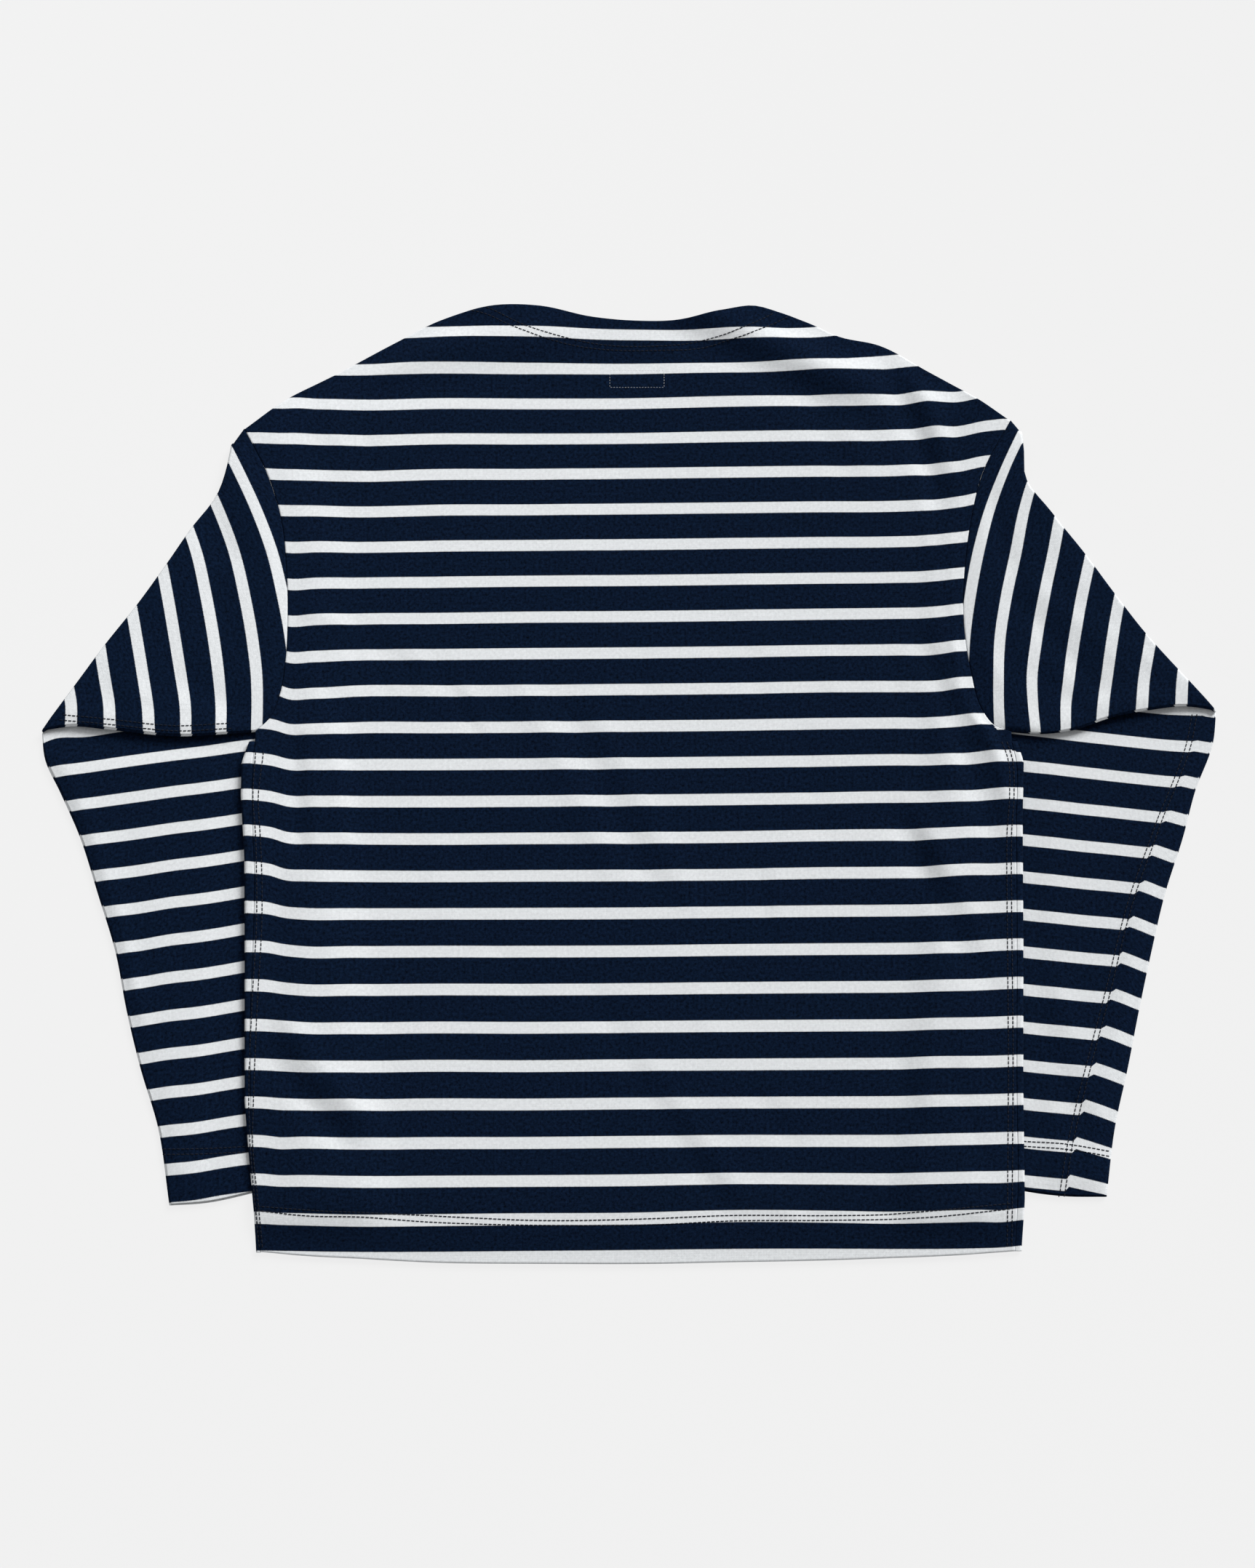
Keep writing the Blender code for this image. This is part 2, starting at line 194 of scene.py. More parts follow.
# Edges of the sleeves: where they fold under, the underarm seam of the upper arm,
# both edges of the forearm and the cuff
SLEEVE_FOLD = {
    "left": [
        Mark(-313, 642),
        Mark(-316, 622),
        Mark(-322, 602),
        Mark(-340, 576),
        Mark(-361, 543),
        Mark(-383, 510),
        Mark(-406, 479),
        Mark(-430, 444),
        Mark(-454, 409),
    ],
    "right": [
        Mark(312, 652),
        Mark(313, 633),
        Mark(313, 617),
        Mark(334, 584),
        Mark(358, 552),
        Mark(380, 520),
        Mark(403, 488),
        Mark(428, 458),
        Mark(457, 425),
    ],
}
UNDERARM_SEAM = {
    "left": [
        Mark(-288, 408),
        Mark(-310, 406),
        Mark(-348, 404),
        Mark(-399, 409),
        Mark(-431, 412),
        Mark(-454, 409),
    ],
    "right": [
        Mark(297, 408),
        Mark(318, 406),
        Mark(345, 409),
        Mark(375, 419),
        Mark(405, 425),
        Mark(435, 428),
        Mark(457, 425),
    ],
}
FOREARM_OUTER = {
    "left": [
        Mark(-454, 409),
        Mark(-451, 388),
        Mark(-438, 361),
        Mark(-422, 327),
        Mark(-406, 281),
        Mark(-391, 236),
        Mark(-381, 191),
        Mark(-369, 147),
        Mark(-354.5, 103),
        Mark(-344, 44),
    ],
    "right": [
        Mark(457, 425),
        Mark(454, 402),
        Mark(438, 361),
        Mark(428, 327),
        Mark(412, 281),
        Mark(400, 236),
        Mark(389, 191),
        Mark(379, 147),
        Mark(368, 103),
        Mark(360, 50.5),
    ],
}
FOREARM_INNER = {
    "left": [Mark(-313, 642), Mark(-280, 420), Mark(-248, 240), Mark(-222, 71)],
    "right": [Mark(312, 652), Mark(286, 420), Mark(259, 240), Mark(238, 73)],
}
CUFF_EDGE = {
    "left": [Mark(-222, 71), Mark(-283, 53), Mark(-316, 46), Mark(-344, 44)],
    "right": [Mark(238, 73), Mark(297, 55), Mark(328, 51), Mark(360, 50.5)],
}

# How far from the centre line the body lies fully on the forearms, by height
Support = namedtuple("Support", "up left right")
SUPPORT = [
    Support(45, 206, 222),
    Support(240, 232, 243),
    Support(400, 254, 254),
    Support(440, 250, 250),
    Support(560, 252, 252),
    Support(655, 286, 286),
]
SLOPE_LEFT = 42.0
SLOPE_RIGHT = 30.0
CUFF_CLEAR = 46.0
CUFF_SLOPE = 34.0

# How much thicker the side folds of the body are than two flat layers, by height
Plump = namedtuple("Plump", "up left right")
PLUMP = [
    Plump(0, 0.0, 0.0),
    Plump(45, 0.5, 0.3),
    Plump(120, 1.3, 0.7),
    Plump(220, 2.1, 1.0),
    Plump(330, 2.5, 1.6),
    Plump(385, 2.0, 1.8),
    Plump(408, 0.7, 0.7),
    Plump(440, 0.0, 0.0),
]
PLUMP_EDGE = 24.0
# How much the underarm edge of each sleeve stands off the forearm, and how far in
UNDERARM_LIFT = 2.0
UNDERARM_EDGE = 34.0
# How far the sleeve's fold reaches outwards, and how much cloth goes round it,
# against a half circle
FOLD_SHARPNESS = 0.55
FOLD_CLOTH = 0.7
# How far from the centre line the forearms come clear of the body
BODY_COVER = 308.0

# Loose air under the back panel, its largest folds and its finer creases: a ridge
# has a positive height and a trough a negative one
LOFT = 2.5
LOFT_EDGE = 45.0
SHOULDER_EDGE = 24.0
CREASE_EDGE = 14.0
Fold = namedtuple("Fold", "across up to_across to_up half_width height")
FOLDS = [
    Fold(35, 764, 195, 684, 14, 4.6),
    Fold(30, 740, 182, 662, 14, -1.7),
    Fold(-200, 715, -46, 735, 15, 2.4),
    Fold(-224, 684, -72, 699, 12, -1.0),
    Fold(203, 716, 250, 586, 9, -2.6),
    Fold(221, 722, 266, 592, 8, 2.8),
    Fold(232, 480, 288, 312, 10, -2.6),
    Fold(208, 343, 264, 215, 10, -1.7),
    Fold(222, 349, 278, 221, 9, 1.5),
    Fold(243, 296, 286, 192, 8, -1.5),
    Fold(-87, 454, -11, 297, 10, 1.2),
    Fold(-50, 432, 20, 285, 8, -0.9),
    Fold(-24, 425, 50, 270, 9, 1.0),
    Fold(-26, 202, 72, 42, 11, -1.2),
    Fold(2, 165, 92, 42, 10, 1.2),
    Fold(-258, 405, -252, 309, 9, -2.4),
    Fold(-230, 417, -216, 315, 10, 1.6),
    Fold(-290, 173, -207, 84, 10, -2.2),
    Fold(-269, 190, -191, 100, 10, 1.9),
]
CREASES = [
    Fold(253, 484, 304, 330, 8, 2.4),
    Fold(250, 452, 284, 392, 6, 1.0),
    Fold(264, 452, 298, 392, 6, -1.4),
    Fold(-152, 466, -106, 393, 6, -0.7),
    Fold(-128, 448, -99, 381, 5, 0.7),
    Fold(-220, 498, -166, 454, 7, -0.9),
    Fold(-255, 509, -200, 483, 7, 0.9),
    Fold(134, 698, 170, 615, 8, -0.6),
    Fold(158, 692, 191, 615, 7, 0.6),
    Fold(93, 132, 127, 86, 8, -0.8),
    Fold(104, 57, 127, 29, 8, 0.9),
    Fold(173, 40, 242, 49, 8, -0.7),
    Fold(-211, 666, -198, 615, 7, -0.6),
    Fold(-235, 672, -222, 622, 6, 0.5),
    Fold(-238, 471, -230, 432, 6, -0.6),
    Fold(-220, 476, -211, 429, 5, 0.5),
    Fold(-196, 474, -187, 434, 6, -0.5),
    Fold(-164, 471, -156, 427, 6, 0.5),
    Fold(10, 472, 17, 432, 7, -0.5),
    Fold(60, 471, 65, 434, 6, 0.4),
    Fold(96, 476, 103, 432, 7, -0.5),
    Fold(156, 471, 162, 437, 7, 0.4),
    Fold(203, 469, 210, 429, 7, -0.5),
    Fold(224, 628, 247, 516, 7, 0.6),
    Fold(241, 578, 251, 472, 6, -0.8),
    Fold(258, 570, 256, 450, 6, 0.8),
    Fold(100, 303, 106, 249, 6, -0.6),
    Fold(112, 306, 118, 252, 5, 0.4),
    Fold(47, 226, 70, 155, 9, 0.5),
    Fold(-105, 249, -69, 190, 8, -0.5),
    Fold(198, 179, 225, 86, 9, -0.6),
    Fold(244, 155, 268, 69, 8, -0.6),
    Fold(-159, 357, -134, 249, 10, 0.4),
    Fold(131, 417, 154, 321, 10, -0.4),
    Fold(79, 578, 102, 478, 12, 0.4),
    Fold(-168, 603, -153, 516, 12, -0.4),
    Fold(-54, 628, -35, 528, 14, 0.4),
]

# Creases of the upper layer of each upper arm and of each forearm
SLEEVE_LOFT = 1.3
SLEEVE_LOFT_EDGE = 14.0
UPPER_ARM_CREASES = {
    "left": [
        Fold(-338, 600, -312, 545, 10, -2.6),
        Fold(-306, 622, -288, 550, 9, 0.6),
        Fold(-325, 528, -303, 472, 8, -0.7),
        Fold(-345, 454, -284, 411, 10, -0.9),
        Fold(-402, 472, -384, 427, 8, 1.0),
        Fold(-370, 497, -349, 439, 8, -0.5),
        Fold(-392, 442, -320, 422, 7, 0.7),
    ],
    "right": [
        Fold(281, 615, 300, 534, 9, -1.3),
        Fold(300, 516, 369, 439, 8, -1.2),
        Fold(314, 528, 393, 454, 7, 0.9),
        Fold(316, 454, 368, 411, 7, -0.9),
        Fold(359, 497, 440, 439, 7, 0.8),
        Fold(275, 476, 309, 417, 7, 1.0),
        Fold(320, 603, 360, 516, 8, 0.6),
    ],
}
FOREARM_CREASES = {
    "left": [
        Fold(-434, 369, -369, 179, 10, 1.2),
        Fold(-388, 345, -351, 86, 10, -0.5),
    ],
    "right": [
        Fold(309, 190, 338, 103, 9, -0.9),
        Fold(325, 214, 358, 103, 8, 0.7),
        Fold(367, 369, 439, 393, 12, -0.6),
        Fold(407, 333, 359, 132, 8, 0.8),
    ],
}

# Stripes. The first crosses the body below the neck edge
PITCH = 29.25
WHITE_WIDTH = 8.95
FIRST_STRIPE = 734.8
HEM_WHITE = 25 * PITCH + 3.9

# How much higher each stripe lies than a level one, by distance from the centre
# line and by height above the hem
Rise = namedtuple("Rise", "across at4 at33 at90 at150 at240 at310 at370 at440 at500 at600 at690 at735")
RISE_HEIGHTS = (4, 33, 90, 150, 240, 310, 370, 440, 500, 600, 690, 735)
RISES = [
    Rise(-291, 2.1, 1.3, 0.8, -0.1, 2.1, 5.0, 3.2, 1.7, -0.3, -1.0, -1.2, -1.5),
    Rise(-273, 2.3, 1.6, 0.1, -0.4, 1.5, 2.9, 1.1, -0.5, -2.9, -2.3, -1.3, -0.9),
    Rise(-262, 2.2, 0.9, -1.3, -0.9, -0.6, -0.8, -1.7, -4.6, -4.6, -2.6, -0.6, -0.8),
    Rise(-245, 1.9, 0.4, -1.0, -2.0, -2.5, -1.6, -2.2, -4.3, -3.6, -2.7, -1.5, -0.9),
    Rise(-205, 1.4, -0.6, -1.5, -2.0, -1.9, -1.6, -1.8, -1.6, -2.4, -3.2, -2.5, -0.3),
    Rise(-150, 1.4, -0.1, -1.0, -1.1, -1.5, -1.9, -1.7, -1.6, -2.0, -1.7, -1.4, 0.5),
    Rise(-80, 2.0, 0.6, -0.9, -1.4, -1.5, -1.3, -1.3, -1.3, -1.0, -1.5, -1.8, -0.2),
    Rise(0, 2.8, 1.0, -0.1, -0.6, -1.2, -1.0, -0.7, -0.5, -0.5, -0.7, -1.7, -2.8),
    Rise(80, 3.5, 3.1, 0.7, -0.1, -0.2, -0.3, 0.2, 0.3, 0.4, 0.2, 0.4, -2.2),
    Rise(150, 3.8, 2.6, 0.7, 0.3, 0.4, 1.0, 1.1, 1.6, 1.4, 1.0, 1.5, 0.4),
    Rise(205, 3.7, 1.8, 0.8, 0.7, 0.8, 1.4, 2.1, 1.9, 2.1, 1.3, 1.6, 8.0),
    Rise(243, 3.7, 2.6, 1.5, 1.4, 1.3, 2.1, 1.9, 2.3, 3.2, 3.0, 4.8, 10.5),
    Rise(262, 4.1, 3.0, 2.0, 1.5, 1.9, 3.3, 2.2, 4.6, 5.5, 4.8, 4.6, 10.5),
    Rise(281, 5.1, 2.9, 2.6, 2.0, 3.2, 3.5, 3.9, 5.5, 7.4, 9.1, 7.9, 8.7),
    Rise(296, 6.6, 4.7, 2.9, 2.7, 3.8, 4.2, 4.4, 6.5, 8.6, 10.4, 10.0, 9.6),
]

# The tuck below the right underarm, and how much lower the stripes lie beyond it
SeamMark = namedtuple("SeamMark", "across up lower")
TUCK = [
    SeamMark(266, 462, 0.0),
    SeamMark(269, 448, 4.0),
    SeamMark(273, 436, 5.8),
    SeamMark(280, 422, 5.5),
    SeamMark(285, 410, 4.5),
    SeamMark(294, 400, 3.8),
    SeamMark(302, 388, 1.0),
]

# Where the stripes of each upper arm cross each height, from the armhole outwards
ArmStripes = namedtuple("ArmStripes", "up first second third fourth fifth sixth seventh")
UPPER_ARM_STRIPES = {
    "left": [
        ArmStripes(400, -258, -287.2, -314, -341, -369, -400, -431),
        ArmStripes(429, -258, -286.9, -315, -342.4, -371.7, -401.5, -430.9),
        ArmStripes(449, -258.5, -287.6, -317, -346.1, -375.4, -405.4, -435),
        ArmStripes(481, -262, -291.8, -321.8, -352.1, -381.6, -411.5, -441),
        ArmStripes(516, -269, -298.7, -328.8, -358.9, -388.8, -418.6, -448),
        ArmStripes(551, -277.9, -307.6, -337.2, -367, -397, -427, -457),
        ArmStripes(587, -291.6, -321.4, -351, -381, -411, -441, -471),
        ArmStripes(620, -307.1, -337, -366.5, -396, -426, -456, -486),
        ArmStripes(655, -325, -355, -385, -415, -445, -475, -505),
    ],
    "right": [
        ArmStripes(400, 262, 288, 316.5, 338, 366, 397.5, 428),
        ArmStripes(429, 262, 287.4, 314.2, 339.3, 368.3, 398.4, 428.9),
        ArmStripes(449, 261, 287.9, 313.6, 342.4, 371.8, 400.6, 430.5),
        ArmStripes(481, 262.5, 289.6, 318.2, 347.6, 377, 407, 437),
        ArmStripes(516, 267.5, 295.6, 325.1, 354.6, 384.3, 414, 444),
        ArmStripes(551, 274.5, 303.9, 333.2, 363, 393, 423, 453),
        ArmStripes(587, 284.5, 311.4, 341, 371, 401, 431, 461),
        ArmStripes(620, 297.3, 322, 351, 381, 411, 441, 471),
        ArmStripes(660, 316.5, 343, 371, 401, 431, 461, 491),
    ],
}

# How high three stripes of each forearm lie, from the body outwards
ForearmStripes = namedtuple("ForearmStripes", "across highest sixth twelfth")
FOREARM_STRIPES = {
    "left": [
        ForearmStripes(-220, 409, 266, 86),
        ForearmStripes(-285, 399, 255.5, 79),
        ForearmStripes(-304, 396.5, 251.9, 76.3),
        ForearmStripes(-326, 393.1, 248.1, 72.4),
        ForearmStripes(-349, 390.2, 245.3, 70.2),
        ForearmStripes(-371, 387.2, 241.4, 67),
        ForearmStripes(-393, 384, 238.6, 64.5),
        ForearmStripes(-415, 380.6, 236.5, 62),
        ForearmStripes(-437, 377.5, 234, 60),
        ForearmStripes(-458, 374, 232, 58),
    ],
    "right": [
        ForearmStripes(220, 420, 275, 101),
        ForearmStripes(305, 410.8, 264.9, 90.4),
        ForearmStripes(327, 408.2, 262.4, 88.2),
        ForearmStripes(350, 405.3, 259.9, 86.3),
        ForearmStripes(372, 402.8, 258, 84.5),
        ForearmStripes(394, 400.3, 255.5, 82),
        ForearmStripes(416, 398, 253, 80),
        ForearmStripes(439, 396.5, 251, 78),
        ForearmStripes(460, 395, 249, 76),
    ],
}

# The seam along the right forearm, from elbow to cuff, how much lower the stripes lie
# just outside it, and how they slant there
FOREARM_SEAM = [
    SeamMark(447, 430, 0.6),
    SeamMark(443, 423, 0.8),
    SeamMark(437, 397, 1.2),
    SeamMark(426, 369, 1.7),
    SeamMark(414, 342, 2.3),
    SeamMark(403, 314, 2.9),
    SeamMark(392, 286, 3.2),
    SeamMark(367, 200, 3.4),
    SeamMark(343, 116, 3.5),
    SeamMark(336, 88, 3.6),
    SeamMark(329, 50, 3.6),
]
SEAM_SLANT = 0.24
SEAM_DROP = 3.4

# Over how much of the forearm the stripes pass from the fold's to its own
ELBOW_BLEND = 45.0

# Rows of stitching
NECK_ROWS = [
    [
        Mark(-128, 754),
        Mark(-116, 751),
        Mark(-94, 740.4),
        Mark(-63, 728.2),
        Mark(-41, 722.7),
        Mark(-25, 720.4),
        Mark(22, 719),
        Mark(62, 722.1),
        Mark(79, 727),
        Mark(94, 731),
        Mark(112, 739),
        Mark(128, 748),
    ],
    [
        Mark(-116, 757),
        Mark(-109, 754),
        Mark(-83, 740.4),
        Mark(-44, 728.2),
        Mark(-19, 723.6),
        Mark(22, 722.6),
        Mark(45, 724.6),
        Mark(62, 728.2),
        Mark(82, 733.2),
        Mark(100, 741),
        Mark(116, 750),
    ],
]
HEM_ROWS = [
    [
        Mark(-278, 40),
        Mark(-243, 36),
        Mark(-197, 34.8),
        Mark(-152, 31.6),
        Mark(-92, 29.4),
        Mark(-20, 28.9),
        Mark(20, 29.4),
        Mark(77, 32.2),
        Mark(152, 32.7),
        Mark(227, 34.8),
        Mark(287, 41),
    ],
    [
        Mark(-278, 43),
        Mark(-230, 39.4),
        Mark(-177, 37.5),
        Mark(-122, 34.8),
        Mark(-72, 32.7),
        Mark(20, 34),
        Mark(73, 36.2),
        Mark(152, 36.2),
        Mark(189, 36.8),
        Mark(236, 40.2),
        Mark(287, 45),
    ],
]
SIDE_SEAM_ROWS = [
    [
        Mark(-281, 392),
        Mark(-284, 353),
        Mark(-282, 328),
        Mark(-280, 299),
        Mark(-279, 268),
        Mark(-281, 190),
        Mark(-282, 121),
        Mark(-282, 93),
        Mark(-276, 40),
        Mark(-273, 12),
    ],
    [
        Mark(-287, 392),
        Mark(-288, 353),
        Mark(-285.5, 328),
        Mark(-284, 299),
        Mark(-283, 268),
        Mark(-285, 190),
        Mark(-285.5, 121),
        Mark(-284, 93),
        Mark(-278.5, 40),
        Mark(-275.5, 12),
    ],
    [
        Mark(289, 400),
        Mark(293, 388),
        Mark(294, 358),
        Mark(291.5, 329),
        Mark(290.5, 299),
        Mark(290, 271),
        Mark(288, 150),
        Mark(284.5, 36),
        Mark(284, 13),
    ],
    [
        Mark(293, 400),
        Mark(296.5, 388),
        Mark(297.5, 358),
        Mark(295, 329),
        Mark(294, 299),
        Mark(293.5, 271),
        Mark(291.5, 150),
        Mark(288, 36),
        Mark(287.5, 13),
    ],
]
UNDERARM_ROWS = {
    "left": [
        [Mark(-440, 417), Mark(-399, 413), Mark(-348, 408), Mark(-306, 410)],
        [Mark(-437, 421), Mark(-399, 417), Mark(-348, 412), Mark(-308, 414)],
    ],
    "right": [],
}
CUFF_ROWS = {
    "left": [
        [Mark(-354, 86), Mark(-330, 86), Mark(-270, 89)],
        [Mark(-354, 82), Mark(-330, 82), Mark(-270, 85)],
    ],
    "right": [
        [Mark(270, 94), Mark(297, 92), Mark(328, 90), Mark(363, 84.4)],
        [Mark(270, 90), Mark(297, 88.3), Mark(328, 86), Mark(363, 80.6)],
    ],
}
LABEL_STITCHES = [
    [Mark(-14, 702.3), Mark(29, 702.3)],
    [Mark(29, 702.3), Mark(29, 688.3)],
    [Mark(29, 688.3), Mark(-14, 688.3)],
    [Mark(-14, 688.3), Mark(-14, 702.3)],
]
Thread = namedtuple("Thread", "length gap radius")
SEAM_THREAD = Thread(2.9, 0.5, 0.42)
FINE_THREAD = Thread(1.2, 1.0, 0.13)
# One stitch: the share of its length, its drop and its size at four places along it
STITCH_FORM = ((-0.5, 0.9, 0.35), (-0.36, 0.15, 1.0), (0.36, 0.15, 1.0), (0.5, 0.9, 0.35))

# Colours of the knit, the threads and the table, and the size of the knit's loops
NAVY = (0.0025, 0.0072, 0.0202, 1.0)
WHITE = (0.665, 0.685, 0.70, 1.0)
DARK_THREAD = (0.004, 0.006, 0.012, 1.0)
PALE_THREAD = (0.48, 0.49, 0.50, 1.0)
TABLE = (0.06, 0.06, 0.06, 1.0)
TABLE_GLOW = 0.8117
KNIT = {
    "Wale Width": 1.25,
    "Course Height": 0.95,
    "Stripe Pitch": PITCH,
    "Stripe Width": WHITE_WIDTH,
    "Ground": NAVY,
    "Stripe": WHITE,
}


# Shapes shared with the solid garment


def smooth_line(marks, shares):
    """Points at these shares of the length of a smooth line through the marks."""
    marks = np.array(marks, float)
    steps = np.linalg.norm(np.diff(marks, axis=0), axis=1)
    run = np.concatenate([[0.0], np.cumsum(steps)])
    slopes = np.gradient(marks, run, axis=0)
    where = np.asarray(shares, float) * run[-1]
    i = np.clip(np.searchsorted(run, where, side="right") - 1, 0, len(steps) - 1)
    t = ((where - run[i]) / steps[i])[:, None]
    reach = steps[i][:, None]
    start = (1 + 2 * t) * (1 - t) ** 2 * marks[i] + t * (1 - t) ** 2 * reach * slopes[i]
    end = t**2 * (3 - 2 * t) * marks[i + 1] - t**2 * (1 - t) * reach * slopes[i + 1]
    return start + end


def soft_step(value):
    """Zero below zero, one above one, and smooth between."""
    value = np.clip(value, 0.0, 1.0)
    return value * value * (3 - 2 * value)


def with_rim_shares(shares, length, at_start=True, at_end=True):
    """The shares with extra ones a little inside the rims of a line that long."""
    extra = np.array(BY_THE_RIM) / length
    parts = [np.asarray(shares, float)]
    if at_start:
        parts.append(extra)
    if at_end:
        parts.append(1 - extra)
    return np.unique(np.concatenate(parts))


def side_shares():
    return with_rim_shares(np.linspace(0.0, 1.0, SIDE_ROWS + 1), SIDE_LENGTH, at_end=False)


def armhole_shares(count=ARMHOLE_ROWS):
    even = np.linspace(0.0, 1.0, count + 1) ** 1.35
    return with_rim_shares(even, ARMHOLE_LENGTH, at_start=False)


def column_shares():
    even = np.linspace(0.0, 1.0, COLUMNS + 1)
    return with_rim_shares(even - 0.07 * np.sin(2 * math.pi * even), HEM_LENGTH)


def spanned(low, high, first, last, shares, underarm_row):
    """A grid of points between four edges. Rows are straight up to the underarm and
    take the curve of the high edge only above it."""
    u = np.asarray(shares)[None, :, None]
    rise = (first[:, 1] - first[0, 1]) / (first[-1, 1] - first[0, 1])
    underarm = rise[underarm_row]
    to_low = ((1 - rise) ** 2)[:, None, None]
    to_high = soft_step((rise - underarm) / (1 - underarm))[:, None, None]
    across = (1 - u) * first[:, None] + u * last[:, None]
    low_curve = low[None] - ((1 - u) * low[0] + u * low[-1])
    high_curve = high[None] - ((1 - u) * high[0] + u * high[-1])
    return across + to_low * low_curve + to_high * high_curve


def raised(across, up):
    """How far the forearms lift the body at each point."""
    table = np.array(SUPPORT, float)
    left = np.interp(up, table[:, 0], table[:, 1])
    right = np.interp(up, table[:, 0], table[:, 2])
    on_left = soft_step(1 + (-across - left) / SLOPE_LEFT)
    on_right = soft_step(1 + (across - right) / SLOPE_RIGHT)
    above_cuff = soft_step(1 + (up - CUFF_CLEAR) / CUFF_SLOPE)
    return LIFT * np.maximum(on_left, on_right) * above_cuff


def folds_at(folds, across, up):
    """Sum of the soft ridges and troughs at each point."""
    total = np.zeros_like(across)
    for fold in folds:
        run = math.hypot(fold.to_across - fold.across, fold.to_up - fold.up)
        along_x = (fold.to_across - fold.across) / run
        along_y = (fold.to_up - fold.up) / run
        dx = across - fold.across
        dy = up - fold.up
        share = (dx * along_x + dy * along_y) / run
        off = (dx * along_y - dy * along_x) / fold.half_width
        fade = soft_step(share / 0.3 + 0.5) * soft_step((1 - share) / 0.3 + 0.5)
        total += fold.height * fade * np.exp(-off * off)
    return total


def inset(line, distance, towards):
    """The line moved sideways by a distance, to the side that towards is on."""
    direction = np.gradient(line, axis=0)
    direction /= np.linalg.norm(direction, axis=1)[:, None]
    side = np.stack([-direction[:, 1], direction[:, 0]], axis=1)
    facing = np.sign((side * (np.asarray(towards) - line)).sum(axis=1))
    return line + side * facing[:, None] * distance


def body_edge(seam, armhole, distance):
    """One side of the back panel from hem to shoulder tip, clear of its neighbours."""
    side = smooth_line(seam, side_shares())
    arm = smooth_line(armhole, armhole_shares())
    line = np.concatenate([side, arm])
    return inset(line, distance, (0.0, 380.0))


def body_points():
    """Where the back panel's rows and columns cross, seen from above."""
    shares = column_shares()
    left = body_edge(SEAM_LEFT, ARMHOLE_LEFT, SEAM_SPACE)
    right = body_edge(SEAM_RIGHT, ARMHOLE_RIGHT, SEAM_SPACE)
    hem = smooth_line(HEM_EDGE, shares)
    top = smooth_line(TOP_EDGE, shares)
    hem[0], hem[-1] = left[0], right[0]
    top[0], top[-1] = left[-1], right[-1]
    return spanned(hem, top, left, right, shares, len(side_shares()) - 1)


def front_height(points):
    return CLOTH / 2 + raised(points[..., 0], points[..., 1])


def plumpness(up):
    """Extra thickness of the left and the right side fold at each height."""
    table = np.array(PLUMP, float)
    return [np.interp(up, table[:, 0], table[:, k]) for k in (1, 2)]


def side_rise(points):
    """How far the plump side folds raise the back panel near its sides."""
    across = points[..., 0]
    left, right = plumpness(points[..., 1])
    left = left * soft_step(1 - (across - across[:, :1]) / PLUMP_EDGE)
    right = right * soft_step(1 - (across[:, -1:] - across) / PLUMP_EDGE)
    return left + right


def looseness(points, reach):
    """Zero where the back panel is sewn or turned at its rim, and one inside. The
    neck edge is free, so it stays loose there."""
    across = points[..., 0]
    up = points[..., 1]
    gaps = [across - across[:, :1], across[:, -1:] - across, up - up[:1]]
    at_rim = soft_step(np.minimum.reduce(gaps) / reach)
    at_shoulder = soft_step((up[-1:] - up) / min(reach, SHOULDER_EDGE))
    at_neck = soft_step((NECK_HALF_WIDTH - np.abs(across)) / 40)
    return at_rim * np.maximum(at_shoulder, at_neck)


def back_height(points):
    across = points[..., 0]
    up = points[..., 1]
    loft = LOFT + folds_at(FOLDS, across, up)
    loft = np.maximum(loft, 0.0) * looseness(points, LOFT_EDGE)
    creases = folds_at(CREASES, across, up) * looseness(points, CREASE_EDGE)
    rise = side_rise(points) + BACK_OVER_FRONT
    return front_height(points) + rise + np.maximum(loft + creases, 0.0)


def unit(vectors):
    return vectors / np.linalg.norm(vectors, axis=-1)[..., None]


# Where each point lies among the stripes


def evenly(marks, count=160):
    """Many points of a smooth line, in rising order of their first number."""
    line = smooth_line(marks, np.linspace(0.0, 1.0, count))
    return line[np.argsort(line[:, 0])]


def body_stripes(across, up):
    """Cloth place on the body: along the stripe, and across the stripes."""
    table = np.array(RISES, float)
    levels = [np.interp(across, *evenly(table[:, [0, k]]).T) for k in range(1, 13)]
    levels = np.stack(levels)
    heights = np.array(RISE_HEIGHTS, float)
    below = np.clip(np.searchsorted(heights, up, side="right") - 1, 0, len(heights) - 2)
    share = soft_step((up - heights[below]) / (heights[below + 1] - heights[below]))
    low = np.take_along_axis(levels, below[None], 0)[0]
    high = np.take_along_axis(levels, below[None] + 1, 0)[0]
    rise = low + (high - low) * share
    return across, np.minimum(FIRST_STRIPE + rise - tucked(across, up) - up, HEM_WHITE)


def tucked(across, up):
    """How far the stripes drop beyond the tuck below the right underarm."""
    line = evenly([(mark.up, mark.across) for mark in TUCK])
    drop = evenly([(mark.up, mark.lower) for mark in TUCK])
    beyond = across - np.interp(up, *line.T)
    inside = (up > TUCK[-1].up) & (up < TUCK[0].up)
    return np.where(inside & (beyond > 0), np.interp(up, *drop.T), 0.0)


def upper_arm_stripes(side, across, up):
    """Cloth place on an upper arm, whose stripes run down from the shoulder."""
    table = np.array(UPPER_ARM_STRIPES[side], float)
    outwards = -1 if side == "left" else 1
    lines = [np.interp(up, *evenly(table[:, [0, k]]).T) for k in range(1, 8)]
    lines = np.stack(lines) * outwards
    reach = np.asarray(across) * outwards
    at = np.clip((lines < reach).sum(axis=0) - 1, 0, 5)[None]
    low = np.take_along_axis(lines, at, 0)[0]
    high = np.take_along_axis(lines, at + 1, 0)[0]
    return up, (at[0] + (reach - low) / (high - low)) * PITCH


